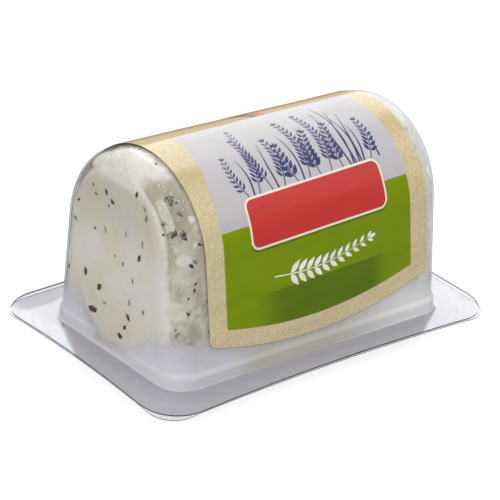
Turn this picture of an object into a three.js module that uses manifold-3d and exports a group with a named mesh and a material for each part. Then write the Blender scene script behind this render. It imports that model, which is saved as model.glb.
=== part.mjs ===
// Goat cheese log with herbs in its sealed clear pack: an arched dome that stands on
// a wide flange, a film sealed under the flange, and a printed wrap over the dome.
// Millimetres, +Z up. X runs along the log and -Y is the front, where the wrap reads.
// The origin is at the bottom centre of the flange.

import * as THREE from 'three';
import { mergeVertices } from 'three/addons/utils/BufferGeometryUtils.js';
import Module from 'manifold-3d';

const wasm = await Module();
wasm.setup();

// Flange, as seen from above
const FLANGE_LENGTH = 90;
const FLANGE_WIDTH = 61;
const FLANGE_CORNER = 8.8;
// How far each corner of the flange droops below the dome's foot
const DROOP_FRONT_LEFT = 2.4;
const DROOP_FRONT_RIGHT = 1.7;
const DROOP_BACK_LEFT = 1.4;
const DROOP_BACK_RIGHT = 0.6;
const DROOP_POWER = 3;
const DROOP_ONSET = 1.5;

// Dome: an arch swept along X, with round edges at both ends
const DOME_LENGTH = 72.6;
const DOME_HEIGHT = 43.5;
const CROWN_RADIUS = 19.5;
const SIDE_DRAFT = THREE.MathUtils.degToRad(5.4);
const END_EDGE_RADIUS = 5.8;
const DOME_CENTRE = new THREE.Vector2(-2.6, -3.3);
const SHELL_WALL = 0.4;

// Bead round the dome's foot
const BEAD_OUT = 0.7;
const BEAD_HEIGHT = 3.8;

// Film sealed under the flange, sagging to the table under the cheese
const FOOT_LEVEL = 2.9;
const FILM_THICKNESS = 0.3;
const FILM_MARGIN = 0.5;
const SEAL_GAP = 0.1;
const SAG_WIDTH = 6;

// Wrap over the dome, its lower edges bowed and its corners round
const WRAP_LENGTH = 58.6;
const WRAP_REACH = 50.1;
const WRAP_BOW_RADIUS = 95;
const WRAP_CORNER = 2.2;
const WRAP_TURN = 0.04;
const WRAP_THICKNESS = 0.18;
const WRAP_GAP = 0.15;

// Cheese
const CHEESE_GAP = 0.8;
const CHEESE_LIFT = 0.3;
const CHEESE_BASE_ROUND = 13;
const CHEESE_END_ROUND = 5;
const CHEESE_END_ROUND_BELOW = 8;
const LUMP_HEIGHT = 0.22;
const LUMP_SPACING = [6, 15];
const LUMP_WAVES = 7;
// Herb flakes, as half sizes from the smallest to the largest
const FLAKE_HALF_LENGTH = [0.5, 1.1];
const FLAKE_HALF_WIDTH = [0.28, 0.53];
const FLAKE_PROUD = 0.32;
const FLAKES_ON_SIDES = 60;
const FLAKES_ON_EACH_END = 18;
const SEED = 20;

// Fineness of the facets
const ARC_STEPS = 15;
const EDGE_STEPS = 5;
const CORNER_STEPS = 7;
const SIDE_STEPS = 6;
const WRAP_COLUMNS = 12;
const WRAP_ROWS = 26;
const CHEESE_SIDES = 54;
const CHEESE_ROWS = 15;
const CHEESE_EDGE_ROWS = 4;
// Rings on the cheese's end faces, as shares of the way from their edge to their middle
const FACE_RINGS = [0.7, 0.35];
// Rings of the flange, as shares of the way from the dome's foot to the rim
const FLANGE_RINGS = [0.35, 0.7, 1];
// Rings of the film's sag, as shares of its width
const SAG_RINGS = [1, 0.7, 0.4, 0];

// Worked out from the sizes above
const FOOT_TOP = FOOT_LEVEL + SHELL_WALL;
const ARC_CENTRE_Z = FOOT_TOP + DOME_HEIGHT - CROWN_RADIUS;
const ARC_HALF_ANGLE = Math.PI / 2 - SIDE_DRAFT;
const DOME_HALF_LENGTH = DOME_LENGTH / 2;
const DOME_HALF_WIDTH = halfWidthAt(FOOT_LEVEL, 0);
const ALONG_X = new THREE.Matrix4().makeBasis(
  new THREE.Vector3(0, 1, 0),
  new THREE.Vector3(0, 0, 1),
  new THREE.Vector3(1, 0, 0),
);

function halfWidthAt(level, inset) {
  const radius = CROWN_RADIUS - inset;
  const rise = ARC_CENTRE_Z + radius * Math.sin(SIDE_DRAFT) - level;
  return radius * Math.cos(SIDE_DRAFT) + rise * Math.tan(SIDE_DRAFT);
}

function randomFrom(seed) {
  let state = seed;
  return () => {
    state = (state * 16807) % 2147483647;
    return state / 2147483647;
  };
}

// Closed geometry with shared corners, ready for joining and cutting
function toSolid(geometry) {
  const bare = geometry.clone();
  bare.deleteAttribute('normal');
  bare.deleteAttribute('uv');
  const merged = mergeVertices(bare, 1e-5);
  const mesh = new wasm.Mesh({
    numProp: 3,
    vertProperties: new Float32Array(merged.attributes.position.array),
    triVerts: new Uint32Array(merged.index.array),
  });
  mesh.merge();
  return new wasm.Manifold(mesh);
}

function toGeometry(solid) {
  const mesh = solid.getMesh();
  const geometry = new THREE.BufferGeometry();
  geometry.setAttribute('position', new THREE.BufferAttribute(mesh.vertProperties, 3));
  geometry.setIndex(new THREE.BufferAttribute(mesh.triVerts, 1));
  geometry.computeVertexNormals();
  return geometry;
}

function geometryFrom(points, faces) {
  const geometry = new THREE.BufferGeometry().setFromPoints(points);
  geometry.setIndex(faces);
  geometry.computeVertexNormals();
  return geometry;
}

// A closed body through rings that turn anticlockwise about the way they follow each
// other. Its ends are capped, or the last ring joins the first.
function loft(rings, capped) {
  const count = rings[0].length;
  const points = rings.flat();
  const faces = [];
  const bands = capped ? rings.length - 1 : rings.length;
  for (let row = 0; row < bands; row += 1) {
    const here = row * count;
    const next = ((row + 1) % rings.length) * count;
    for (let column = 0; column < count; column += 1) {
      const after = (column + 1) % count;
      faces.push(here + column, here + after, next + after);
      faces.push(here + column, next + after, next + column);
    }
  }
  if (capped) {
    const lastRow = (rings.length - 1) * count;
    const firstCentre = points.push(middleOf(rings[0])) - 1;
    const lastCentre = points.push(middleOf(rings.at(-1))) - 1;
    for (let column = 0; column < count; column += 1) {
      const after = (column + 1) % count;
      faces.push(firstCentre, after, column);
      faces.push(lastCentre, lastRow + column, lastRow + after);
    }
  }
  return geometryFrom(points, faces);
}

function middleOf(ring) {
  const sum = ring.reduce((total, point) => total.add(point), new THREE.Vector3());
  return sum.divideScalar(ring.length);
}

// A closed thin sheet. place(u, v, side) gives its inner face at side 0 and its outer
// face at side 1.
function sheet(columns, rows, place) {
  const points = [];
  const faces = [];
  const perSide = (columns + 1) * (rows + 1);
  const at = (column, row) => row * (columns + 1) + column;
  for (const side of [1, 0]) {
    for (let row = 0; row <= rows; row += 1) {
      for (let column = 0; column <= columns; column += 1) {
        points.push(place(column / columns, row / rows, side));
      }
    }
  }
  for (let row = 0; row < rows; row += 1) {
    for (let column = 0; column < columns; column += 1) {
      const a = at(column, row);
      const b = at(column + 1, row);
      const c = at(column + 1, row + 1);
      const d = at(column, row + 1);
      faces.push(a, b, c, a, c, d);
      faces.push(perSide + a, perSide + c, perSide + b);
      faces.push(perSide + a, perSide + d, perSide + c);
    }
  }
  const rim = [];
  for (let column = 0; column < columns; column += 1) rim.push(at(column, 0));
  for (let row = 0; row < rows; row += 1) rim.push(at(columns, row));
  for (let column = columns; column > 0; column -= 1) rim.push(at(column, rows));
  for (let row = rows; row > 0; row -= 1) rim.push(at(0, row));
  rim.forEach((here, index) => {
    const next = rim[(index + 1) % rim.length];
    faces.push(next, here, perSide + here, next, perSide + here, perSide + next);
  });
  return geometryFrom(points, faces);
}

// Points round a rectangle with round corners, anticlockwise from above
function roundedRing(halfLength, halfWidth, radius, centre) {
  const corners = [[1, -1], [1, 1], [-1, 1], [-1, -1]];
  const arcs = corners.map(([sideX, sideY], turn) => {
    const arc = [];
    for (let step = 0; step <= CORNER_STEPS; step += 1) {
      const angle = (turn - 1 + step / CORNER_STEPS) * (Math.PI / 2);
      arc.push(new THREE.Vector2(
        centre.x + sideX * (halfLength - radius) + radius * Math.cos(angle),
        centre.y + sideY * (halfWidth - radius) + radius * Math.sin(angle),
      ));
    }
    return arc;
  });
  return arcs.flatMap((arc, index) => {
    const start = arc.at(-1);
    const end = arcs[(index + 1) % arcs.length][0];
    const straight = [];
    for (let step = 1; step < SIDE_STEPS; step += 1) {
      straight.push(start.clone().lerp(end, step / SIDE_STEPS));
    }
    return [...arc, ...straight];
  });
}

// How far the flange's rim hangs below the dome's foot at a point of its outline
function droopAt(point) {
  const u = point.x / (FLANGE_LENGTH / 2);
  const v = point.y / (FLANGE_WIDTH / 2);
  const share = (sideX, sideY) => (((1 + sideX * u) / 2) * ((1 + sideY * v) / 2)) ** DROOP_POWER;
  return DROOP_FRONT_LEFT * share(-1, -1) + DROOP_FRONT_RIGHT * share(1, -1)
    + DROOP_BACK_LEFT * share(-1, 1) + DROOP_BACK_RIGHT * share(1, 1);
}

// One ring of the flange or film, from the foot at reach 0 to the rim at reach 1
function flangeRing(reach, margin, level) {
  const foot = footRing(0);
  const rim = roundedRing(
    FLANGE_LENGTH / 2 - margin,
    FLANGE_WIDTH / 2 - margin,
    FLANGE_CORNER - margin,
    new THREE.Vector2(),
  );
  return foot.map((point, index) => {
    const droop = droopAt(rim[index]) * reach ** DROOP_ONSET;
    const flat = point.clone().lerp(rim[index], reach);
    return new THREE.Vector3(flat.x, flat.y, level - droop);
  });
}

// The bead's outline at the flange, moved inwards by inset
function footRing(inset) {
  return roundedRing(
    DOME_HALF_LENGTH + BEAD_OUT - inset,
    DOME_HALF_WIDTH + BEAD_OUT - inset,
    END_EDGE_RADIUS + BEAD_OUT - Math.min(inset, END_EDGE_RADIUS - 1),
    DOME_CENTRE,
  );
}

function atLevel(ring, level) {
  return ring.map((point) => new THREE.Vector3(point.x, point.y, level));
}

// The dome's outer form moved inwards by inset and carried on below the flange
function domeForm(inset) {
  const radius = CROWN_RADIUS - inset;
  const edge = END_EDGE_RADIUS - inset;
  const bottom = -2 * END_EDGE_RADIUS;
  const halfBottom = halfWidthAt(bottom, inset);
  const arch = new THREE.Shape();
  arch.moveTo(-halfBottom, bottom);
  arch.lineTo(halfBottom, bottom);
  arch.absarc(0, ARC_CENTRE_Z, radius, SIDE_DRAFT, Math.PI - SIDE_DRAFT, false);
  arch.closePath();
  const depth = DOME_LENGTH - 2 * END_EDGE_RADIUS;
  const form = new THREE.ExtrudeGeometry(arch, {
    depth,
    steps: 1,
    curveSegments: ARC_STEPS,
    bevelThickness: edge,
    bevelSize: edge,
    bevelOffset: -edge,
    bevelSegments: EDGE_STEPS,
  });
  form.translate(0, 0, -depth / 2);
  form.applyMatrix4(ALONG_X);
  form.translate(DOME_CENTRE.x, DOME_CENTRE.y, 0);
  return toSolid(form);
}

// The bead's outer form moved inwards by inset, from below the flange to its round top
function beadForm(inset) {
  const outline = new THREE.Shape(footRing(inset + BEAD_OUT));
  const bevel = BEAD_OUT;
  const top = FOOT_TOP + BEAD_HEIGHT - inset;
  const bottom = FOOT_LEVEL - 2 * BEAD_OUT;
  const form = new THREE.ExtrudeGeometry(outline, {
    depth: top - bottom - bevel,
    steps: 1,
    bevelThickness: bevel,
    bevelSize: bevel,
    bevelSegments: 3,
  });
  form.translate(0, 0, bottom);
  return toSolid(form);
}

function makeShell() {
  const inner = atLevel(footRing(SHELL_WALL / 2), FOOT_LEVEL);
  const under = FLANGE_RINGS.map((reach) => flangeRing(reach, 0, FOOT_LEVEL));
  const over = FLANGE_RINGS.map((reach) => flangeRing(reach, 0, FOOT_TOP)).reverse();
  const innerTop = atLevel(footRing(SHELL_WALL / 2), FOOT_TOP);
  const flange = toSolid(loft([inner, ...under, ...over, innerTop], false));
  const roomBelow = new THREE.BoxGeometry(FLANGE_LENGTH, FLANGE_WIDTH, FLANGE_LENGTH);
  roomBelow.translate(0, 0, FOOT_LEVEL - FLANGE_LENGTH / 2);
  return domeForm(0)
    .add(beadForm(0))
    .subtract(toSolid(roomBelow))
    .add(flange)
    .subtract(domeForm(SHELL_WALL))
    .subtract(beadForm(SHELL_WALL));
}

function makeFilm() {
  const seal = FOOT_LEVEL - SEAL_GAP;
  const sagLevel = (inset) => THREE.MathUtils.lerp(
    seal,
    FILM_THICKNESS,
    THREE.MathUtils.smoothstep(inset, 0, SAG_WIDTH),
  );
  const sag = SAG_RINGS.map((share) => share * SAG_WIDTH);
  const surface = [
    ...sag.map((inset) => atLevel(footRing(inset), sagLevel(inset))),
    ...FLANGE_RINGS.map((reach) => flangeRing(reach, FILM_MARGIN, seal)),
  ];
  const lowered = surface.map((ring) => ring.map(
    (point) => point.clone().setZ(point.z - FILM_THICKNESS),
  ));
  return toSolid(loft([...lowered, ...surface.reverse()], true));
}

// A point over the dome, at an offset along X from its middle and a distance along its
// arch from the crown, which is negative at the front
function archPoint(offset, distance, lift) {
  const along = Math.abs(distance);
  const angle = Math.min(along / CROWN_RADIUS, ARC_HALF_ANGLE);
  const straight = Math.max(along - CROWN_RADIUS * ARC_HALF_ANGLE, 0);
  const out = (CROWN_RADIUS + lift) * Math.sin(angle) + straight * Math.sin(SIDE_DRAFT);
  const up = (CROWN_RADIUS + lift) * Math.cos(angle) - straight * Math.cos(SIDE_DRAFT);
  return new THREE.Vector3(
    DOME_CENTRE.x + offset,
    DOME_CENTRE.y + Math.sign(distance) * out,
    ARC_CENTRE_Z + up,
  );
}

function makeWrap() {
  const arcEnd = CROWN_RADIUS * ARC_HALF_ANGLE;
  const place = (u, v, side) => {
    const along = (u - 0.5) * WRAP_LENGTH;
    const toEnd = Math.min(WRAP_LENGTH / 2 - Math.abs(along), WRAP_CORNER);
    const corner = WRAP_CORNER - Math.sqrt(WRAP_CORNER ** 2 - (WRAP_CORNER - toEnd) ** 2);
    const reach = WRAP_REACH - along ** 2 / (2 * WRAP_BOW_RADIUS) - corner;
    const share = Math.abs(2 * v - 1);
    const below = Math.max(share * WRAP_REACH - arcEnd, 0) / (WRAP_REACH - arcEnd);
    const distance = Math.min(share * WRAP_REACH, arcEnd) + below * (reach - arcEnd);
    const across = Math.sign(v - 0.5) * distance;
    return archPoint(
      along * Math.cos(WRAP_TURN) - across * Math.sin(WRAP_TURN),
      along * Math.sin(WRAP_TURN) + across * Math.cos(WRAP_TURN),
      WRAP_GAP + side * WRAP_THICKNESS,
    );
  };
  return toSolid(sheet(WRAP_COLUMNS, WRAP_ROWS, place));
}

// Points of the cheese's section, anticlockwise in Y and Z
function cheeseSection() {
  const inset = SHELL_WALL + CHEESE_GAP;
  const radius = CROWN_RADIUS - inset;
  const bottom = FILM_THICKNESS + CHEESE_LIFT;
  const halfBase = halfWidthAt(bottom + CHEESE_BASE_ROUND, inset);
  const round = CHEESE_BASE_ROUND;
  const shape = new THREE.Shape();
  shape.moveTo(0, bottom);
  shape.absarc(halfBase - round, bottom + round, round, -Math.PI / 2, 0, false);
  shape.absarc(0, ARC_CENTRE_Z, radius, SIDE_DRAFT, Math.PI - SIDE_DRAFT, false);
  shape.absarc(round - halfBase, bottom + round, round, Math.PI, 1.5 * Math.PI, false);
  shape.closePath();
  return shape.getSpacedPoints(CHEESE_SIDES).slice(0, CHEESE_SIDES);
}

// Low seeded lumps, as waves in several directions
function lumpsFrom(random) {
  const waves = Array.from({ length: LUMP_WAVES }, () => {
    const direction = new THREE.Vector3(random() - 0.5, random() - 0.5, random() - 0.5);
    const spacing = THREE.MathUtils.lerp(...LUMP_SPACING, random());
    direction.normalize().multiplyScalar((2 * Math.PI) / spacing);
    return { direction, phase: 2 * Math.PI * random() };
  });
  return (point) => waves.reduce(
    (sum, wave) => sum + Math.sin(wave.direction.dot(point) + wave.phase),
    0,
  ) / waves.length;
}

// Rings of the cheese along X: a round edge and a flat face at each end
function cheeseRings(lumps) {
  const section = cheeseSection();
  const normals = section.map((point, index) => {
    const before = section.at(index - 1);
    const after = section[(index + 1) % section.length];
    return new THREE.Vector2(after.y - before.y, before.x - after.x).normalize();
  });
  const bottom = FILM_THICKNESS + CHEESE_LIFT;
  const middle = new THREE.Vector2(0, (bottom + FOOT_TOP + DOME_HEIGHT) / 2);
  const halfLength = DOME_HALF_LENGTH - SHELL_WALL - CHEESE_GAP;
  const roundAt = (height) => THREE.MathUtils.lerp(
    CHEESE_END_ROUND_BELOW,
    CHEESE_END_ROUND,
    THREE.MathUtils.smoothstep(height, bottom, bottom + CHEESE_BASE_ROUND),
  );
  const ringAt = (end, turn, shrink) => section.map((point, index) => {
    const round = roundAt(point.y);
    const inset = round * (1 - Math.sin(turn));
    const x = end * (halfLength - round * (1 - Math.cos(turn)));
    const flat = point.clone().addScaledVector(normals[index], -inset).lerp(middle, shrink);
    const place = new THREE.Vector3(x + DOME_CENTRE.x, flat.x + DOME_CENTRE.y, flat.y);
    const free = THREE.MathUtils.smoothstep(flat.y, bottom, bottom + CHEESE_BASE_ROUND / 2);
    const out = new THREE.Vector3(
      end * Math.cos(turn),
      normals[index].x * Math.sin(turn),
      normals[index].y * Math.sin(turn),
    );
    return place.addScaledVector(out, free * LUMP_HEIGHT * lumps(place));
  });
  const turns = Array.from(
    { length: CHEESE_EDGE_ROWS },
    (_, index) => (index / CHEESE_EDGE_ROWS) * (Math.PI / 2),
  );
  const startEnd = [
    ...FACE_RINGS.map((shrink) => ringAt(-1, 0, shrink)),
    ...turns.map((turn) => ringAt(-1, turn, 0)),
  ];
  const farEnd = [
    ...FACE_RINGS.map((shrink) => ringAt(1, 0, shrink)),
    ...turns.map((turn) => ringAt(1, turn, 0)),
  ].reverse();
  const start = ringAt(-1, Math.PI / 2, 0);
  const finish = ringAt(1, Math.PI / 2, 0);
  const between = [];
  for (let row = 1; row < CHEESE_ROWS; row += 1) {
    between.push(start.map((point, index) => {
      const place = point.clone().lerp(finish[index], row / CHEESE_ROWS);
      const out = new THREE.Vector3(0, normals[index].x, normals[index].y);
      const free = THREE.MathUtils.smoothstep(place.z, bottom, bottom + CHEESE_BASE_ROUND / 2);
      return place.addScaledVector(out, free * LUMP_HEIGHT * lumps(place));
    }));
  }
  return [...startEnd, start, ...between, finish, ...farEnd];
}

// A herb flake lying in a triangle of the surface, most of it sunk
function flakeIn(corners, random) {
  const [a, b, c] = corners;
  const centre = a.clone().lerp(b, random()).lerp(c, random() / 2);
  const normal = new THREE.Triangle(a, b, c).getNormal(new THREE.Vector3());
  const flake = new THREE.IcosahedronGeometry(1, 0);
  const halfLength = THREE.MathUtils.lerp(...FLAKE_HALF_LENGTH, random() ** 2);
  const halfWidth = THREE.MathUtils.lerp(...FLAKE_HALF_WIDTH, random());
  flake.scale(halfLength, halfWidth, FLAKE_PROUD);
  flake.rotateZ(2 * Math.PI * random());
  flake.applyQuaternion(
    new THREE.Quaternion().setFromUnitVectors(new THREE.Vector3(0, 0, 1), normal),
  );
  flake.translate(centre.x, centre.y, centre.z);
  return toSolid(flake);
}

function makeCheese() {
  const random = randomFrom(SEED);
  const rings = cheeseRings(lumpsFrom(random));
  const pick = (low, high) => Math.floor(THREE.MathUtils.lerp(low, high, random()));
  const faceRows = FACE_RINGS.length;
  const endRows = faceRows + CHEESE_EDGE_ROWS;
  const herbs = [];
  const addFlake = (row) => {
    let column = pick(0, CHEESE_SIDES);
    while (rings[row][column].z < FOOT_TOP + BEAD_HEIGHT) column = pick(0, CHEESE_SIDES);
    const after = (column + 1) % CHEESE_SIDES;
    herbs.push(flakeIn([rings[row][column], rings[row][after], rings[row + 1][after]], random));
  };
  for (let count = 0; count < FLAKES_ON_SIDES; count += 1) {
    addFlake(pick(endRows, endRows + CHEESE_ROWS));
  }
  for (let count = 0; count < FLAKES_ON_EACH_END; count += 1) {
    addFlake(pick(0, faceRows));
    addFlake(rings.length - 2 - pick(0, faceRows));
  }
  return herbs.reduce((log, herb) => log.add(herb), toSolid(loft(rings, true)));
}

function named(name, solid, material) {
  const mesh = new THREE.Mesh(toGeometry(solid), new THREE.MeshStandardMaterial(material));
  mesh.name = name;
  return mesh;
}

const clear = { roughness: 0.08, metalness: 0, transparent: true, opacity: 0.3 };
const pack = new THREE.Group();
pack.add(named('shell', makeShell(), { color: 0xe9eaf0, ...clear }));
pack.add(named('base_film', makeFilm(), { color: 0xe4e4ec, ...clear }));
pack.add(named('cheese', makeCheese(), { color: 0xe6e3d6, roughness: 0.6, metalness: 0 }));
pack.add(named('wrap', makeWrap(), { color: 0xd9d2b4, roughness: 0.45, metalness: 0 }));

export default pack;
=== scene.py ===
"""Dresses the goat cheese log: its clear pack, the herbed cheese inside and the printed wrap."""

import math
import random

import bmesh
import bpy
from bpy.props import FloatProperty, FloatVectorProperty, IntProperty, PointerProperty
from mathutils import Matrix, Vector, noise
from mathutils.bvhtree import BVHTree


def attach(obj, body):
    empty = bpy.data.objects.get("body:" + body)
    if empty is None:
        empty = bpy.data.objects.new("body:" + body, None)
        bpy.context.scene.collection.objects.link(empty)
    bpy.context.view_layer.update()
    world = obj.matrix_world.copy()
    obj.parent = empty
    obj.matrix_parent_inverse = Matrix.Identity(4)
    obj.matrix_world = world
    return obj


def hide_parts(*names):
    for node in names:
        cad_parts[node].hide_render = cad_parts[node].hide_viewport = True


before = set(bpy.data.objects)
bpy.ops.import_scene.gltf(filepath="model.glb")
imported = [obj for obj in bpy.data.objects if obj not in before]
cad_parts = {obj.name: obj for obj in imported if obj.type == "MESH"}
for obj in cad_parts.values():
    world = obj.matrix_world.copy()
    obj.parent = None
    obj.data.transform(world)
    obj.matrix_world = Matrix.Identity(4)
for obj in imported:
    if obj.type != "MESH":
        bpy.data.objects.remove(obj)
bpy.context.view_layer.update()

bl_info = {
    "name": "Goat cheese log",
    "version": (1, 0, 0),
    "blender": (4, 5, 0),
    "location": "View3D > Sidebar > Cheese",
    "description": "Builds a herbed goat cheese log in its clear sealed pack",
    "category": "Object",
}

MM = 0.001
BODY = "root"
TINY = 1e-6


def mm(name, text, value):
    """A length property whose default is given in millimetres."""
    return FloatProperty(name=name, description=text, default=value * MM, unit="LENGTH", precision=5)


def srgb(red, green, blue):
    """Linear colour of a screen colour given from 0 to 255."""
    shares = (channel / 255 for channel in (red, green, blue))
    return tuple(
        share / 12.92 if share <= 0.04045 else ((share + 0.055) / 1.055) ** 2.4 for share in shares
    )


def tint(name, text, red, green, blue):
    """A colour property whose default is given as a screen colour from 0 to 255."""
    return FloatVectorProperty(
        name=name, description=text, default=srgb(red, green, blue), subtype="COLOR", size=3,
        min=0, max=1,
    )


class PackSizes(bpy.types.PropertyGroup):
    """Sizes of the pack, its cheese and its wrap."""

    dome_length: mm("Dome length", "Length of the dome along X", 72.6)
    dome_height: mm("Dome height", "Height of the crown over the flange", 43.5)
    crown_radius: mm("Crown radius", "Radius of the dome's arch", 19.5)
    side_draft: FloatProperty(
        name="Side draft", description="Lean of the dome's straight sides",
        default=math.radians(5.4), subtype="ANGLE",
    )
    end_edge_radius: mm("End edge radius", "Round edge at both ends of the dome", 5.8)
    dome_x: mm("Dome place X", "Middle of the dome along X", -2.6)
    dome_y: mm("Dome place Y", "Middle of the dome along Y", -3.3)
    wall: mm("Wall", "Thickness of the clear shell", 0.35)
    bead_out: mm("Bead width", "How far the bead at the foot stands out", 0.3)
    bead_height: mm("Bead height", "Height of the bead over the flange", 3.8)
    flange_length: mm("Flange length", "Length of the flange along X", 90)
    flange_width: mm("Flange width", "Width of the flange along Y", 61)
    flange_corner: mm("Flange corner", "Corner radius of the flange", 8.8)
    foot_top: mm("Foot level", "Level of the flange's upper face at the dome's foot", 3.3)
    droop_front_left: mm("Droop front left", "How far this corner hangs", 2.4)
    droop_front_right: mm("Droop front right", "How far this corner hangs", 1.7)
    droop_back_left: mm("Droop back left", "How far this corner hangs", 1.4)
    droop_back_right: mm("Droop back right", "How far this corner hangs", 0.6)
    film_level: mm("Film level", "Level of the film's upper face at the seal", 2.85)
    film_wall: mm("Film thickness", "Thickness of the film under the flange", 0.2)
    film_sag: mm("Film sag", "How far the film sags under the cheese", 2.6)
    film_slope: mm("Film slope", "Width of the slope where the film sags", 6)
    film_margin: mm("Film margin", "How far the film's edge stays inside the flange's", 0.3)
    film_corner: mm("Film corner", "Corner radius of the film", 6.4)
    cheese_inset: mm("Cheese inset", "Depth of the cheese below the dome's outer face", 0.6)
    cheese_base: mm("Cheese base", "Level of the cheese's underside", 0.6)
    cheese_base_round: mm("Cheese base round", "Round edge along the underside", 13)
    cheese_end_round: mm("Cheese end round", "Round edge at both ends", 5.4)
    wrap_length: mm("Wrap length", "Length of the wrap along the dome", 58.6)
    wrap_reach: mm("Wrap reach", "From the crown down each side along the arch", 50.1)
    wrap_bow: mm("Wrap bow radius", "Radius of the wrap's bowed lower edges", 95)
    wrap_corner: mm("Wrap corner", "Corner radius of the wrap", 1.0)
    wrap_turn: FloatProperty(
        name="Wrap turn", description="How far the wrap sits askew on the dome",
        default=0.04, subtype="ANGLE",
    )
    wrap_gap: mm("Wrap gap", "Gap between the dome and the wrap", 0.1)
    wrap_wall: mm("Wrap thickness", "Thickness of the wrap's paper", 0.1)
    seed: IntProperty(name="Seed", description="Seed of the scattered herbs", default=20)


class PackColours(bpy.types.PropertyGroup):
    """Colours of the pack, its cheese and its print."""

    plastic: tint("Clear plastic", "What the plastic lets through", 252, 252, 253)
    plastic_flange: tint("Flange", "What the flange lets through", 240, 241, 243)
    plastic_slant: tint("Plastic at a slant", "What it lets through at a slant", 178, 178, 185)
    plastic_edge: tint("Plastic's outline", "What it lets through along its outline", 84, 84, 92)
    plastic_rim: tint("Plastic rim", "Cut edge of the plastic", 92, 92, 102)
    plastic_haze: tint("Plastic haze", "Milky bloom on the plastic", 226, 225, 234)
    # The flange's two shade colours paint the dome's shadow on the flange
    plastic_shade: tint("Flange in shade", "Bloom on the flange in the dome's shade", 182, 179, 187)
    plastic_shade_near: tint("Shade at the foot", "Bloom in the shade close to the dome", 179, 175, 184)
    curd: tint("Curd", "Smooth face of the cheese", 240, 233, 212)
    curd_pressed: tint("Pressed curd", "Curd that touches the plastic", 244, 240, 228)
    # Darker curd for random patches and specks, also painted as shade on the face's top, in its creases and
    # in the bloom beside the wrap
    curd_dark_and_shade: tint("Curd in hollows", "Wet curd in the hollows", 194, 188, 156)
    curd_wet: tint("Wet curd", "Crumbly side of the cheese", 236, 232, 212)
    # Whey stains on the side, also painted as shade in the hollows and higher up the side
    whey_and_shade: tint("Whey", "Whey stains on the side", 154, 146, 108)
    herb_green: tint("Green herb", "Green herb flakes", 48, 56, 20)
    herb_brown: tint("Brown herb", "Brown herb flakes", 70, 48, 34)
    herb_veiled: tint("Veiled herb", "Herb flakes under a thin layer of curd", 146, 143, 126)
    paper_white: tint("White field", "White field of the print", 194, 190, 193)
    paper_kraft: tint("Kraft border", "Border of the print", 220, 206, 168)
    # Fibres in the border, also painted as shade below the ridge and on the ridge
    paper_kraft_fibre_and_shade: tint("Kraft fibres", "Fibres in the border", 176, 146, 84)
    ink_green: tint("Green field", "Green field of the print", 126, 150, 0)
    ink_green_dark: tint("Green band", "Darker band in the green field", 84, 110, 20)
    ink_red: tint("Red panel", "Red panel of the print", 204, 60, 54)
    ink_cream: tint("Cream outline", "Outline of the red panel", 244, 238, 222)
    ink_blue: tint("Blue motif", "Blue herb motif", 26, 34, 92)
    floor: tint("Floor", "Floor under the pack", 120, 120, 120)


# How fine the meshes are
ARCH_SIDES = 128
EDGE_STEPS = 10
FLANGE_RINGS = 9
CUT_SPACING = 9 * MM
CHEESE_VOXEL = 0.48 * MM
WRAP_GRID = (96, 168)
SMOOTH_ANGLE = math.radians(38)
# How steeply the flange droops towards each corner, and outwards from the dome's foot
DROOP_POWER = 3
DROOP_ONSET = 1.5
# The bead slopes out over this height, and a fillet leads it onto the flange
BEAD_SLOPE = 1.5 * MM
BEAD_STEPS = 6
FOOT_FILLET = 0.45 * MM
FILLET_STEPS = 4
SAG_STEPS = 8


def smoothstep(low, high, value):
    """0 below low and 1 above high, smooth between."""
    share = min(max((value - low) / (high - low), 0.0), 1.0)
    return share * share * (3.0 - 2.0 * share)


def arc_level(sizes):
    """Level of the middle of the dome's arch."""
    return sizes.foot_top + sizes.dome_height - sizes.crown_radius


def depth_in_arch(sizes, point):
    """Depth of a point under the arch, wherever it lies along the dome."""
    across = abs(point.y - sizes.dome_y)
    above = point.z - arc_level(sizes)
    if above > 0:
        return sizes.crown_radius - math.hypot(across, above)
    return half_width(sizes, point.z) - across


def half_width(sizes, level, inset=0.0):
    """Half the dome's width on its straight sides at a level."""
    radius = sizes.crown_radius - inset
    rise = arc_level(sizes) + radius * math.sin(sizes.side_draft) - level
    return radius * math.cos(sizes.side_draft) + rise * math.tan(sizes.side_draft)


def foot_size(sizes):
    """Half length, half width and corner radius of the bead's outline on the flange."""
    return (
        sizes.dome_length / 2 + sizes.bead_out,
        half_width(sizes, sizes.foot_top) + sizes.bead_out,
        sizes.end_edge_radius + sizes.bead_out,
    )


def depth_in_dome(sizes, point):
    """How deep a point lies below the dome's outer face."""
    across = abs(point.y - sizes.dome_y)
    above = point.z - arc_level(sizes)
    if math.atan2(above, across) > sizes.side_draft:
        side = sizes.crown_radius - math.hypot(across, above)
    else:
        side = (half_width(sizes, point.z) - across) * math.cos(sizes.side_draft)
    end = sizes.dome_length / 2 - abs(point.x - sizes.dome_x)
    edge = sizes.end_edge_radius
    if side < edge and end < edge:
        return edge - math.hypot(edge - side, edge - end)
    return min(side, end)


def arch_point(sizes, offset, distance, lift):
    """A point over the dome, at an offset along X and a distance along the arch from the crown."""
    along = abs(distance)
    arc_end = math.pi / 2 - sizes.side_draft
    angle = min(along / sizes.crown_radius, arc_end)
    straight = max(along - sizes.crown_radius * arc_end, 0.0)
    out = (sizes.crown_radius + lift) * math.sin(angle) + straight * math.sin(sizes.side_draft)
    up = (sizes.crown_radius + lift) * math.cos(angle) - straight * math.cos(sizes.side_draft)
    return Vector((
        sizes.dome_x + offset,
        sizes.dome_y + math.copysign(out, distance),
        arc_level(sizes) + up,
    ))


def deselect():
    if bpy.context.mode != "OBJECT":
        bpy.ops.object.mode_set(mode="OBJECT")
    bpy.ops.object.select_all(action="DESELECT")


def make_active(piece):
    deselect()
    piece.select_set(True)
    bpy.context.view_layer.objects.active = piece


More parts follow.
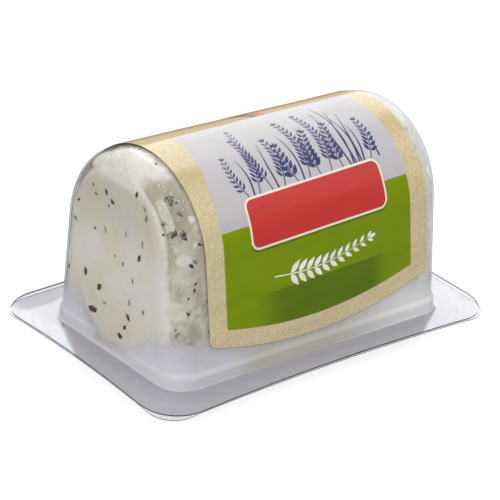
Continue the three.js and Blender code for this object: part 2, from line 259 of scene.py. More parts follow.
def start_piece(name):
    """Names the primitive just added, settles its place in its mesh and opens it for editing."""
    piece = bpy.context.object
    piece.name = name
    piece.data.name = name
    bpy.ops.object.transform_apply(location=True, rotation=True, scale=True)
    bpy.ops.object.mode_set(mode="EDIT")
    bpy.ops.mesh.select_all(action="SELECT")
    return piece


def add_grid(name, columns, rows, length=1, width=1):
    """Adds a flat grid of this size at the origin, ready for its vertices to be moved."""
    deselect()
    bpy.ops.mesh.primitive_grid_add(x_subdivisions=columns, y_subdivisions=rows, size=1)
    grid = start_piece(name)
    bpy.ops.transform.resize(value=(length, width, 1), center_override=(0, 0, 0))
    bpy.ops.object.mode_set(mode="OBJECT")
    return grid


def select_where(piece, kind, test):
    """Selects the edges or faces of the piece in edit mode that pass the test."""
    bpy.ops.mesh.select_mode(type=kind)
    bpy.ops.mesh.select_all(action="DESELECT")
    mesh = bmesh.from_edit_mesh(piece.data)
    for item in mesh.edges if kind == "EDGE" else mesh.faces:
        if test(item):
            item.select_set(True)
    mesh.select_flush_mode()
    bmesh.update_edit_mesh(piece.data)


def apply_modifier(piece, kind, **settings):
    make_active(piece)
    modifier = piece.modifiers.new(kind.title(), kind)
    for key, value in settings.items():
        setattr(modifier, key, value)
    bpy.ops.object.modifier_apply(modifier=modifier.name)


def give_wall(piece, thickness, **settings):
    """Thickens a sheet inwards and shades it smooth up to its sharp edges."""
    apply_modifier(piece, "SOLIDIFY", thickness=thickness, offset=-1, **settings)
    bpy.ops.object.shade_smooth_by_angle(angle=SMOOTH_ANGLE)


def join_pieces(pieces, name):
    """Joins the pieces into one of this name."""
    deselect()
    for piece in pieces:
        piece.select_set(True)
    bpy.context.view_layer.objects.active = pieces[0]
    bpy.ops.object.join()
    joined = bpy.context.object
    joined.name = name
    joined.data.name = name
    return joined


def face_outwards(piece, towards_up):
    """Turns the faces one way. On an open sheet the highest face then looks up."""
    bpy.ops.mesh.select_all(action="SELECT")
    bpy.ops.mesh.remove_doubles(threshold=TINY)
    bpy.ops.mesh.normals_make_consistent(inside=False)
    if towards_up:
        mesh = bmesh.from_edit_mesh(piece.data)
        highest = max(mesh.faces, key=lambda face: face.calc_center_median().z)
        if highest.normal.z < 0:
            bpy.ops.mesh.flip_normals()


def paint(piece, *materials):
    for material in materials:
        piece.data.materials.append(material)


def finish_piece(piece, slot, *materials):
    """Gives a piece its materials and the body it rides on."""
    paint(piece, *materials)
    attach(piece, BODY)


def add_arch(name, sizes, inset, base):
    """An arched form along X, moved inwards by inset, with flat ends and no underside."""
    radius = sizes.crown_radius - inset
    centre = (sizes.dome_x, sizes.dome_y, arc_level(sizes))
    tangent = centre[2] + radius * math.sin(sizes.side_draft)
    spread = half_width(sizes, base, inset) / half_width(sizes, tangent, inset)
    end = sizes.dome_length / 2 - inset
    deselect()
    bpy.ops.mesh.primitive_cylinder_add(
        vertices=ARCH_SIDES, radius=radius, depth=2 * end, end_fill_type="NOTHING",
        location=centre, rotation=(0, math.pi / 2, 0),
    )
    arch = start_piece(name)
    bpy.ops.mesh.bisect(plane_co=(0, 0, tangent), plane_no=(0, 0, 1), clear_inner=True)
    bpy.ops.mesh.extrude_region_move(TRANSFORM_OT_translate={"value": (0, 0, base - tangent)})
    bpy.ops.transform.resize(value=(1, spread, 1), center_override=(centre[0], centre[1], base))
    for side in (-1, 1):
        level = sizes.dome_x + side * end
        select_where(arch, "EDGE", lambda edge: edge.is_boundary and lies_at(edge, 0, level))
        bpy.ops.mesh.edge_face_add()
    return arch


def lies_at(edge, axis, level):
    return all(abs(vertex.co[axis] - level) < TINY * 10 for vertex in edge.verts)


def round_ends(arch, sizes, inset, radius, steps):
    """Bevels the edges round both flat ends of an arch."""
    levels = [sizes.dome_x + side * (sizes.dome_length / 2 - inset) for side in (-1, 1)]
    select_where(arch, "EDGE", lambda edge: not edge.is_boundary and any(
        lies_at(edge, 0, level) for level in levels
    ))
    bpy.ops.mesh.bevel(
        offset=radius, segments=steps, profile=0.5, affect="EDGES", clamp_overlap=False,
    )


def add_outline(length, width, corner, centre, level):
    """Adds a flat rectangle with round corners to the mesh in edit mode, left selected."""
    place = (centre[0], centre[1], level)
    bpy.ops.mesh.select_mode(type="VERT")
    bpy.ops.mesh.select_all(action="DESELECT")
    bpy.ops.mesh.primitive_plane_add(size=1, location=place)
    bpy.ops.transform.resize(value=(length, width, 1), center_override=place)
    bpy.ops.mesh.bevel(offset=corner, segments=EDGE_STEPS, profile=0.5, affect="VERTICES")


def outside_of(x, y, half_length, half_across, corner):
    """Distance outside a rectangle with round corners, negative inside, and the way out."""
    core = Vector((
        max(-half_length + corner, min(half_length - corner, x)),
        max(-half_across + corner, min(half_across - corner, y)),
    ))
    away = Vector((x, y)) - core
    if away.length > TINY:
        return away.length - corner, away.normalized()
    slack = max(abs(x) - half_length, abs(y) - half_across)
    return slack, Vector((0, 0))


def droop_at(sizes, point):
    """How far the flange hangs at a point between the dome's foot and its rim."""
    half_x = sizes.flange_length / 2
    half_y = sizes.flange_width / 2
    from_foot, way = outside_of(point.x - sizes.dome_x, point.y - sizes.dome_y, *foot_size(sizes))
    if from_foot <= 0:
        return 0.0
    to_rim = max(-outside_of(point.x, point.y, half_x, half_y, sizes.flange_corner)[0], 0.0)
    rim_x = (point.x + way.x * to_rim) / half_x
    rim_y = (point.y + way.y * to_rim) / half_y
    droops = {
        (-1, -1): sizes.droop_front_left, (1, -1): sizes.droop_front_right,
        (-1, 1): sizes.droop_back_left, (1, 1): sizes.droop_back_right,
    }
    share = sum(
        droop * max((1 + sx * rim_x) * (1 + sy * rim_y) / 4, 0.0) ** DROOP_POWER
        for (sx, sy), droop in droops.items()
    )
    return share * (from_foot / (from_foot + to_rim)) ** DROOP_ONSET


def bridge_to_rim(piece, sizes, margin, corner, level):
    """Joins the open loop at this level to a flat rim by a flange, cut fine enough to droop."""
    add_outline(
        sizes.flange_length - 2 * margin, sizes.flange_width - 2 * margin, corner, (0, 0), level,
    )
    bpy.ops.mesh.delete(type="ONLY_FACE")
    select_where(piece, "EDGE", lambda edge: (edge.is_boundary or edge.is_wire)
                 and lies_at(edge, 2, level))
    bpy.ops.mesh.bridge_edge_loops(number_cuts=FLANGE_RINGS, interpolation="LINEAR")
    for axis, size in ((0, sizes.flange_length), (1, sizes.flange_width)):
        normal = [0, 0, 0]
        normal[axis] = 1
        cuts = int(size / CUT_SPACING)
        for cut in range(1, cuts):
            place = [0, 0, 0]
            place[axis] = size * (cut / cuts - 0.5)
            bpy.ops.mesh.select_all(action="SELECT")
            bpy.ops.mesh.bisect(plane_co=place, plane_no=normal)


def finish_sheet(piece, sizes, wall, slot, *materials):
    """Lets the flange of a clear sheet droop, and gives the sheet its wall and its finish."""
    face_outwards(piece, towards_up=True)
    bpy.ops.object.mode_set(mode="OBJECT")
    for vertex in piece.data.vertices:
        vertex.co.z -= droop_at(sizes, vertex.co)
    paint(piece, *materials)
    give_wall(piece, wall, material_offset_rim=1)
    finish_piece(piece, slot)


class Maker:
    """Adds nodes to a material, a world or a group and joins them."""

    def __init__(self, tree):
        self.tree = tree

    def add(self, kind, **settings):
        node = self.tree.nodes.new(kind)
        for key, value in settings.items():
            setattr(node, key, value)
        return node

    def feed(self, socket, value):
        if isinstance(value, bpy.types.NodeSocket):
            self.tree.links.new(value, socket)
        elif socket.type == "RGBA" and len(value) == 3:
            socket.default_value = (*value, 1)
        else:
            socket.default_value = value

    def feed_all(self, node, *values, **named):
        """Feeds inputs in order, and by names with underscores for blanks, and gives the outputs."""
        for socket, value in zip(node.inputs, values):
            self.feed(socket, value)
        for name, value in named.items():
            self.feed(node.inputs[name.replace("_", " ")], value)
        return node.outputs

    def put(self, kind, *values, **named):
        """Adds a node with these inputs and gives its first output."""
        return self.feed_all(self.add("ShaderNode" + kind), *values, **named)[0]

    def math(self, operation, *values, clamp=False):
        node = self.add("ShaderNodeMath", operation=operation, use_clamp=clamp)
        return self.feed_all(node, *values)[0]

    def times(self, first, *others):
        for other in others:
            first = self.math("MULTIPLY", first, other)
        return first

    def most(self, first, *others):
        for other in others:
            first = self.math("MAXIMUM", first, other)
        return first

    def minus(self, first, second):
        return self.math("SUBTRACT", first, second)

    def rest(self, share):
        """What a share leaves of 1."""
        return self.minus(1.0, share)

    def apart(self, first, second):
        """How far two numbers lie apart."""
        return self.math("ABSOLUTE", self.minus(first, second))

    def mix(self, share, first, second):
        """The first colour where share is 0 and the second where it is 1."""
        node = self.add("ShaderNodeMix", data_type="RGBA")
        for index, value in zip((0, 6, 7), (share, first, second)):
            self.feed(node.inputs[index], value)
        return node.outputs[2]

    def blend(self, share, first, second):
        """The first number where share is 0 and the second where it is 1."""
        node = self.add("ShaderNodeMix", data_type="FLOAT")
        for index, value in zip((0, 2, 3), (share, first, second)):
            self.feed(node.inputs[index], value)
        return node.outputs[0]

    def rise(self, value, low, high):
        """0 below low and 1 above high, smooth between."""
        node = self.add("ShaderNodeMapRange", interpolation_type="SMOOTHSTEP")
        return self.feed_all(node, value, low, high)[0]

    def under(self, value, limit, soft):
        """1 below the limit and 0 above it, across a border as soft as this on both sides."""
        return self.rest(self.rise(self.minus(value, limit), -soft, soft))

    def place(self):
        return self.add("ShaderNodeTexCoord").outputs["Object"]

    def axes(self, place):
        """The three coordinates of a place."""
        return self.feed_all(self.add("ShaderNodeSeparateXYZ"), place)

    def attribute(self, name, output="Fac"):
        return self.add("ShaderNodeAttribute", attribute_name=name).outputs[output]

    def noise(self, place, spacing, detail=2.0, roughness=0.5, distortion=0.0):
        """Soft noise whose features are this far apart, in the units of place."""
        return self.put("TexNoise", Vector=place, Scale=1 / spacing, Detail=detail,
                        Roughness=roughness, Distortion=distortion)

    def stretch(self, place, scale):
        return self.put("Mapping", Vector=place, Scale=scale)

    def bump(self, height, depth, strength=1.0):
        return self.put("Bump", Strength=strength, Distance=depth, Height=height)

    def group(self, tree, **values):
        return self.feed_all(self.add("ShaderNodeGroup", node_tree=tree), **values)

    def principled(self, **values):
        return self.put("BsdfPrincipled", **values)

    def mix_shader(self, share, first, second):
        return self.put("MixShader", share, first, second)

    def surface(self, shader):
        self.feed_all(self.add("ShaderNodeOutputMaterial"), Surface=shader)


def new_material(name):
    material = bpy.data.materials.new(name)
    material.use_nodes = True
    material.node_tree.nodes.clear()
    return material, Maker(material.node_tree)


def new_group(name, inputs, outputs):
    """A shader node group with named number, vector or colour sockets."""
    tree = bpy.data.node_groups.new(name, "ShaderNodeTree")
    for in_out, sockets in (("INPUT", inputs), ("OUTPUT", outputs)):
        for label, kind in sockets.items():
            tree.interface.new_socket(label, in_out=in_out, socket_type=kind)
    maker = Maker(tree)
    return tree, maker, maker.add("NodeGroupInput").outputs, maker.add("NodeGroupOutput").inputs


FLOAT = "NodeSocketFloat"
VECTOR = "NodeSocketVector"
COLOUR = "NodeSocketColor"


# Values of the noise between which patches and specks come in
MOTTLE_PATCHES = (0.38, 0.66)
MOTTLE_SPECKS = (0.52, 0.72)
# Mottle of each finish: size of patches and of specks in millimetres, and share of the specks
CURD_MOTTLE = (9, 1.2, 0.08)
CRUMB_MOTTLE = (5, 0.8, 0.45)
HERB_MOTTLE = (1.3, 0.25, 0.6)
GRAIN_MOTTLE = (1.5, 0.2, 0.3)
KRAFT_MOTTLE = (8, 0.4, 0.15)
INK_MOTTLE = (2.5, 0.2, 0.3)


def mottle_group():
    """Uneven colour: a base colour with patches of a second one and fine specks of a third."""
    if "Mottle" in bpy.data.node_groups:
        return bpy.data.node_groups["Mottle"]
    tree, make, given, out = new_group(
        "Mottle",
        {"Place": VECTOR, "Base": COLOUR, "Patches": COLOUR, "Specks": COLOUR,
         "Patch size": FLOAT, "Speck size": FLOAT, "Speck share": FLOAT},
        {"Colour": COLOUR, "Height": FLOAT},
    )
    broad, fine = (
        make.put("TexNoise", Vector=given["Place"], Scale=make.math("DIVIDE", 1.0, given[size]),
                 Detail=detail)
        for size, detail in (("Patch size", 3.0), ("Speck size", 2.0))
    )
    patched = make.mix(make.rise(broad, *MOTTLE_PATCHES), given["Base"], given["Patches"])
    specks = make.times(make.rise(fine, *MOTTLE_SPECKS), given["Speck share"])
    make.feed(out["Colour"], make.mix(specks, patched, given["Specks"]))
    make.feed(out["Height"], make.math("ADD", broad, fine))
    return tree


def mottled(make, place, colours, mottle):
    """Colour and height of a mottle of three colours: base, patches and specks."""
    base, patches, specks = colours
    patch_size, speck_size, speck_share = mottle
    return make.group(
        mottle_group(), Place=place, Base=base, Patches=patches, Specks=specks,
        Patch_size=patch_size * MM, Speck_size=speck_size * MM, Speck_share=speck_share,
    )


def field_group():
    """Distance outside a rectangle with round corners on the print, negative inside."""
    if "Field" in bpy.data.node_groups:
        return bpy.data.node_groups["Field"]
    names = ("Along", "Across", "Middle along", "Middle across", "Half length", "Half width", "Corner")
    tree, make, given, out = new_group("Field", dict.fromkeys(names, FLOAT), {"Distance": FLOAT})
    sides = []
    for axis, middle, half in (("Along", "Middle along", "Half length"),
                               ("Across", "Middle across", "Half width")):
        inner = make.minus(given[half], given["Corner"])
        sides.append(make.minus(make.apart(given[axis], given[middle]), inner))
    squares = [make.math("POWER", make.most(side, 0.0), 2.0) for side in sides]
    outer = make.math("SQRT", make.math("ADD", *squares))
    inside = make.math("MINIMUM", make.most(*sides), 0.0)
    make.feed(out["Distance"], make.minus(make.math("ADD", outer, inside), given["Corner"]))
    return tree


# Clear plastic: share that it reflects head on and at most, roughness, haze and ripples
PLASTIC_REFLECTS = 0.04
PLASTIC_REFLECTS_MOST = 0.5
PLASTIC_ROUGHNESS = 0.05
SHELL_HAZE = (0.01, 0.05)
FILM_HAZE = (0.08, 0.16)
SHELL_RIPPLE = 0.05 * MM
FILM_RIPPLE = 0.12 * MM
RIPPLE_SPACING = 6 * MM
CLOUD_SPACING = 9 * MM
# How steeply gloss, slant and outline come in towards a grazing view
GLOSS_POWER = 4.0
SLANT_POWER = 6.0
OUTLINE_POWER = 12.0
# Bloom inside the dome's foot: its share, and where it fades out on the sides and on the ends
FOG = 0.68
FOG_TOP_SIDES = (7.0 * MM, 16.5 * MM)
FOG_TOP_ENDS = (3.4 * MM, 7.5 * MM)
FOG_RAGGED = 3.0 * MM
# Where the ends begin, in lengths of the dome from its middle, and their half width and its border
FOG_ENDS = (0.43, 0.485)
FOG_END_WIDTH = (9 * MM, 5 * MM)
# The bloom is warm at the foot, darker with painted shade beside the wrap and clear towards the far end
WARM_LEVEL = (6 * MM, 4 * MM)
WARM = 0.25
WRAP_SHADE_SPAN = (-27 * MM, -17 * MM)
WRAP_SHADE_SHARE = 0.45
CLEARS = (0.0, 26 * MM)
# Painted shadow of the dome on the flange in front of it: its share, slope and place of its two slanted
# borders, where it ends along X and Y, the width of its darker part and how soft the borders are
SHADE = 0.78
SHADE_LEFT = (0.435, -45.0 * MM)
SHADE_RIGHT = (1.55, 70.5 * MM)
SHADE_END_X = 33 * MM
SHADE_END_Y = 16 * MM
SHADE_NEAR = 3.8 * MM
SLANTED_BORDER = 0.4 * MM
BORDER = 0.5 * MM
# The seal's line on the flange: its distance from the foot, half its width and its share
SEAL_LINE = 5.6 * MM
SEAL_WIDTH = 0.12 * MM
SEAL = 0.2
# Haze near the far end: its share, and where it comes and goes in lengths of the dome
FAR_HAZE = 0.4
FAR_HAZE_COMES = (0.38, 0.41)
FAR_HAZE_GOES = (0.455, 0.49)
FAR_HALF = (0.0, 10 * MM)


def foot_marks(make, sizes, colours, place):
    """Bloom at the dome's foot, painted shadow on the flange and the seal's line: their share and colour.
    """
    along, across, level = make.axes(place)
    half_length, half_foot, corner = foot_size(sizes)
    outside = make.group(
        field_group(), Along=along, Across=across, Middle_along=sizes.dome_x, Middle_across=sizes.dome_y,
        Half_length=half_length, Half_width=half_foot, Corner=corner,
    )["Distance"]
    on_flange = make.rise(outside, 0.1 * MM, BORDER)
    from_middle = make.apart(along, sizes.dome_x)
    from_axis = make.apart(across, sizes.dome_y)

    def beyond(lengths):
        return make.rise(from_middle, *(share * sizes.dome_length for share in lengths))

    at_end = make.times(beyond(FOG_ENDS), make.under(from_axis, *FOG_END_WIDTH))
    ragged = make.math("MULTIPLY_ADD", make.noise(place, CLOUD_SPACING, detail=3.0), -FOG_RAGGED, level)
    low, high = (
        make.blend(at_end, sides - FOG_RAGGED / 2, ends - FOG_RAGGED / 2)
        for sides, ends in zip(FOG_TOP_SIDES, FOG_TOP_ENDS)
    )
    fog = make.times(make.rest(make.rise(ragged, low, high)), make.rest(on_flange))
    warm = make.times(make.under(level, *WARM_LEVEL), WARM)
    bloom = make.mix(warm, colours.plastic_haze, colours.curd_pressed)
    # Painted shade: the bloom darkens beside the wrap
    wrap_shade = make.times(make.rise(along, *WRAP_SHADE_SPAN), WRAP_SHADE_SHARE)
    bloom = make.mix(wrap_shade, bloom, colours.curd_dark_and_shade)
    bloom = make.mix(make.rise(along, *CLEARS), bloom, colours.plastic)

    # Painted shadow of the dome on the flange, darker close to the foot
    left = make.math("MULTIPLY_ADD", across, *SHADE_LEFT)
    right = make.math("MULTIPLY_ADD", across, *SHADE_RIGHT)
    shade = make.times(
        make.under(left, along, SLANTED_BORDER), make.under(along, right, SLANTED_BORDER),
        make.under(along, SHADE_END_X, BORDER), make.under(across, SHADE_END_Y, BORDER), on_flange,
    )
    near = make.under(outside, SHADE_NEAR, BORDER)
    colour = make.mix(shade, bloom, make.mix(near, colours.plastic_shade, colours.plastic_shade_near))

    far_end = make.minus(beyond(FAR_HAZE_COMES), beyond(FAR_HAZE_GOES))
    far_end = make.times(far_end, make.rise(along, *FAR_HALF))
    far_end = make.math("MULTIPLY", far_end, make.minus(FAR_HAZE, on_flange), clamp=True)
    line = make.times(make.under(make.apart(outside, SEAL_LINE), SEAL_WIDTH, SEAL_WIDTH), SEAL)
    share = make.most(make.times(fog, FOG), make.times(shade, SHADE), far_end, line)
    return share, make.mix(line, colour, colours.plastic_shade_near), on_flange


def clear_plastic(name, sizes, colours, haze, wave, marked):
    """Thin clear plastic: reflects more and lets less through at a slant."""
    material, make = new_material(name)
    place = make.place()
    slant = make.add("ShaderNodeLayerWeight")
    slant.inputs["Blend"].default_value = 0.5
    facing = slant.outputs["Facing"]
    gloss = make.math("MULTIPLY_ADD", make.math("POWER", facing, GLOSS_POWER),
                      PLASTIC_REFLECTS_MOST - PLASTIC_REFLECTS, PLASTIC_REFLECTS)
    ripple = make.bump(make.noise(place, RIPPLE_SPACING, detail=1.0), wave)
    through = colours.plastic
    colour = colours.plastic_haze
    cloud = make.rise(make.noise(place, CLOUD_SPACING, detail=3.0), 0.35, 0.75)
    milky = make.blend(cloud, *haze)
    if marked:
        marks, colour, on_flange = foot_marks(make, sizes, colours, place)
        milky = make.most(milky, marks)
        through = make.mix(on_flange, colours.plastic, colours.plastic_flange)
    dim = make.mix(make.math("POWER", facing, SLANT_POWER), through, colours.plastic_slant)
    dim = make.mix(make.math("POWER", facing, OUTLINE_POWER), dim, colours.plastic_edge)
    clear = make.put("BsdfTransparent", Color=dim)
    shine = make.put("BsdfGlossy", Roughness=PLASTIC_ROUGHNESS, Normal=ripple)
    bloom = make.put("BsdfDiffuse", Color=colour)
    sheet = make.mix_shader(gloss, clear, shine)
    make.surface(make.mix_shader(milky, sheet, bloom))
    return material


def plastic_rim(colours):
    """Cut edge of the plastic, painted as a dark line of shade where it bends the light away."""
    material, make = new_material("plastic_rim")
    shade = make.rise(make.noise(make.place(), 4 * MM), 0.3, 0.7)
    colour = make.mix(shade, colours.plastic_rim, colours.plastic_edge)
    clear = make.put("BsdfTransparent", Color=colour)
    body = make.principled(Base_Color=colour, Roughness=0.2)
    make.surface(make.mix_shader(0.8, clear, body))
    return material


class PACK_OT_shell(bpy.types.Operator):
    """Clear dome with its bead and flange, formed from one sheet"""

    bl_idname = "cheese_pack.shell"
    bl_label = "Clear shell"

    def execute(self, context):
        sizes = context.scene.pack_sizes
        colours = context.scene.pack_colours
        shell = add_arch("clear_shell", sizes, 0.0, sizes.foot_top)
        round_ends(shell, sizes, 0.0, sizes.end_edge_radius, EDGE_STEPS)
        self.form_bead(sizes)
        bridge_to_rim(shell, sizes, 0.0, sizes.flange_corner, sizes.foot_top)
        plastic = clear_plastic("clear_shell", sizes, colours, SHELL_HAZE, SHELL_RIPPLE, True)
        finish_sheet(shell, sizes, sizes.wall, "clear_shell", plastic, plastic_rim(colours))
        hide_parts("shell")
        return {"FINISHED"}

    def form_bead(self, sizes):
        """Cuts the dome at the bead's top and leads its edge out and down to the flange."""
        top = sizes.foot_top + sizes.bead_height
        bpy.ops.mesh.select_all(action="SELECT")
        bpy.ops.mesh.bisect(plane_co=(0, 0, top), plane_no=(0, 0, 1), clear_inner=True)
        narrow = Vector((sizes.dome_length / 2, half_width(sizes, top)))
        wide = Vector(foot_size(sizes)[:2])
        rings = []
        for step in range(1, BEAD_STEPS + 1):
            share = step / BEAD_STEPS
            rings.append((narrow.lerp(wide, smoothstep(0, 1, share)), top - share * BEAD_SLOPE))
        for step in range(FILLET_STEPS + 1):
            turn = step / FILLET_STEPS * math.pi / 2
            out = FOOT_FILLET * (1 - math.cos(turn))
            level = sizes.foot_top + FOOT_FILLET * (1 - math.sin(turn))
            rings.append((wide + Vector((out, out)), level))
        size = narrow
        level = top
        for next_size, next_level in rings:
            bpy.ops.mesh.extrude_region_move(
                TRANSFORM_OT_translate={"value": (0, 0, next_level - level)},
            )
            bpy.ops.transform.resize(
                value=(next_size.x / size.x, next_size.y / size.y, 1),
                center_override=(sizes.dome_x, sizes.dome_y, next_level),
            )
            size = next_size
            level = next_level


class PACK_OT_base_film(bpy.types.Operator):
    """Clear film sealed under the flange, sagging under the cheese"""

    bl_idname = "cheese_pack.base_film"
    bl_label = "Base film"

    def execute(self, context):
        sizes = context.scene.pack_sizes
        colours = context.scene.pack_colours
        half_length, half_foot, corner = foot_size(sizes)
        deselect()
        bpy.ops.mesh.primitive_plane_add(size=1, location=(0, 0, sizes.film_level))
        film = start_piece("clear_base_film")
        bpy.ops.mesh.delete(type="VERT")
        add_outline(2 * half_length, 2 * half_foot, corner, (sizes.dome_x, sizes.dome_y), sizes.film_level)
        bpy.ops.mesh.select_mode(type="FACE")
        for step in range(SAG_STEPS):
            here = smoothstep(0, 1, step / SAG_STEPS)
            after = smoothstep(0, 1, (step + 1) / SAG_STEPS)
            bpy.ops.mesh.inset(
                thickness=sizes.film_slope / SAG_STEPS, depth=-(after - here) * sizes.film_sag,
                use_even_offset=False,
            )
        bridge_to_rim(film, sizes, sizes.film_margin, sizes.film_corner, sizes.film_level)
        plastic = clear_plastic("clear_film", sizes, colours, FILM_HAZE, FILM_RIPPLE, False)
        finish_sheet(film, sizes, sizes.film_wall, "clear_film", plastic, plastic_rim(colours))
        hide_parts("base_film")
        return {"FINISHED"}


# Levels between which painted shade darkens the top of the face, whey stains and painted shade
# darken the sides, the white patches end, a painted sheen whitens the crown, and so does the brow
# on the side away from the front
FACE_TOP_SHADE_LEVELS = (24 * MM, 38 * MM)
STAIN_AND_SHADE_LEVELS = (27 * MM, 41 * MM)
PATCH_LEVELS = (31 * MM, 35 * MM)
CROWN_SHEEN_LEVELS = (43 * MM, 44.6 * MM)
BROW_SHEEN_LEVELS = (40 * MM, 41.4 * MM)
BROW_SHEEN_ACROSS = (-13 * MM, -8 * MM)
FACE_TOP_SHADE = 0.5
STAIN_AND_SHADE = 0.8
SHEEN_SHARE = 0.85
# Painted light: the curd is paler beside the wrap, against the wrap's shadow, up to these distances from
# the middle
WRAP_LIGHT_SPAN = (30 * MM, 33 * MM)
WRAP_LIGHT = 0.75
# White patches, and creases painted as thin lines of shade: their spacing and width, and values of
# the noise between which they, or the areas that have creases, come in
PATCH_SPACING = 4.5 * MM
PATCH_NOISE = (0.61, 0.69)
CREASE_SPACING = 10 * MM
CREASE_WIDTH = 0.014
CREASED_SPACING = 16 * MM
CREASED_NOISE = (0.48, 0.62)
CREASED = 0.5
# White rim where the face meets the side
BRINK = 3.0


def curd(colours):
    """Fresh curd: smooth on the ends, crumbly and stained with whey along the sides, with painted shade in
    its hollows, creases, higher up the sides and at the top of the face, painted sheen on the crown and
    brow, and painted light beside the wrap.
    """
    material, make = new_material("fresh_cheese")
    place = make.place()
    along, across, level = make.axes(place)
    pressed, smeared, side, hollow = (
        make.attribute(name) for name in ("pressed", "smeared", "side", "hollow")
    )
    brow = make.rise(level, *BROW_SHEEN_LEVELS)

    crumbs = (colours.curd_wet, colours.curd_dark_and_shade, colours.curd)
    touching = mottled(make, place, crumbs, CRUMB_MOTTLE)["Colour"]
    # Whey stains, with painted shade in the hollows and higher up the side
    stain_and_shade = make.most(hollow, make.times(make.rise(level, *STAIN_AND_SHADE_LEVELS), STAIN_AND_SHADE))
    touching = make.mix(stain_and_shade, touching, colours.whey_and_shade)
    patches = make.rise(make.noise(place, PATCH_SPACING, detail=2.0), *PATCH_NOISE)
    patches = make.times(patches, make.rest(make.rise(level, *PATCH_LEVELS)))
    # Painted sheen whitens the crown and, away from the front, the brow
    crown = make.most(make.rise(level, *CROWN_SHEEN_LEVELS), make.times(brow, make.rise(across, *BROW_SHEEN_ACROSS)))
    white = make.most(make.times(pressed, patches), smeared, make.times(crown, SHEEN_SHARE))
    touching = make.mix(white, touching, colours.curd_pressed)
    # Painted light makes the curd paler beside the wrap, against its shadow
    beyond_wrap_light = make.rise(make.math("ABSOLUTE", along), *WRAP_LIGHT_SPAN)
    touching = make.mix(make.blend(beyond_wrap_light, WRAP_LIGHT, 0.0), touching, colours.curd)

    smooth = (colours.curd, colours.curd_pressed, colours.curd_dark_and_shade)
    face = mottled(make, place, smooth, CURD_MOTTLE)["Colour"]
    smear = make.noise(place, CREASE_SPACING, detail=1.0, distortion=1.5)
    crease = make.rest(make.rise(make.apart(smear, 0.5), 0.0, CREASE_WIDTH))
    creased = make.times(make.rise(make.noise(place, CREASED_SPACING), *CREASED_NOISE), CREASED)
    # Painted shade darkens the fine creases on the face
    face = make.mix(make.times(crease, creased), face, colours.curd_dark_and_shade)
    # Painted shade darkens the top of the face
    face = make.mix(make.times(make.rise(level, *FACE_TOP_SHADE_LEVELS), FACE_TOP_SHADE), face, colours.curd_dark_and_shade)
    # Painted sheen whitens the brow of the face
    face = make.mix(make.times(brow, SHEEN_SHARE), face, colours.curd_pressed)

    colour = make.mix(side, face, touching)
    colour = make.mix(make.times(side, make.rest(side), BRINK), colour, colours.curd_pressed)
    fine = make.noise(place, 0.35 * MM, detail=3.0, roughness=0.6)
    grit = make.times(fine, make.blend(side, 0.15, 1.0))
    make.surface(make.principled(
        Base_Color=colour,
        Roughness=make.blend(pressed, 0.46, 0.3),
        Subsurface_Weight=0.5,
        Subsurface_Radius=(1.0, 0.85, 0.6),
        Subsurface_Scale=1.1 * MM,
        Coat_Weight=make.blend(side, 0.05, 0.35),
        Coat_Roughness=0.22,
        Normal=make.bump(grit, 0.12 * MM, strength=0.8),
    ))
    return material


# Relief of the curd: spacing and height of lumps, crumbs and grains, and its share on the face
LUMPS = (6.5 * MM, 0.55 * MM)
CRUMBS = (1.7 * MM, 0.34 * MM)
GRAINS = (0.7 * MM, 0.12 * MM)
FACE_RELIEF = 0.07
CHEESE_CLEARANCE = 0.06 * MM
# Where the face ends: how far its normal turns from X, and how deep it lies under the arch
FACE_TURN = (0.82, 0.98)
FACE_DEPTH = (2.7 * MM, 3.7 * MM)
FACE_RAGGED = 0.5 * MM
# Overlap with the plastic that counts as pressed, and depth that counts as hollow
PRESSED = (-0.15 * MM, 0.1 * MM)
HOLLOW = (0.1 * MM, 0.7 * MM)
# White smears on the front side: offset along the dome and distance down the arch, half size
SMEARS = ((-29.1, -19.6, 0.9), (-28.6, -21.2, 0.9), (-30.0, -24.6, 0.6), (-34.9, -26.6, 1.1),
          (-33.8, -27.4, 1.4), (-32.2, -27.5, 1.2))
SMEAR_EDGE = (0.85, 1.1)


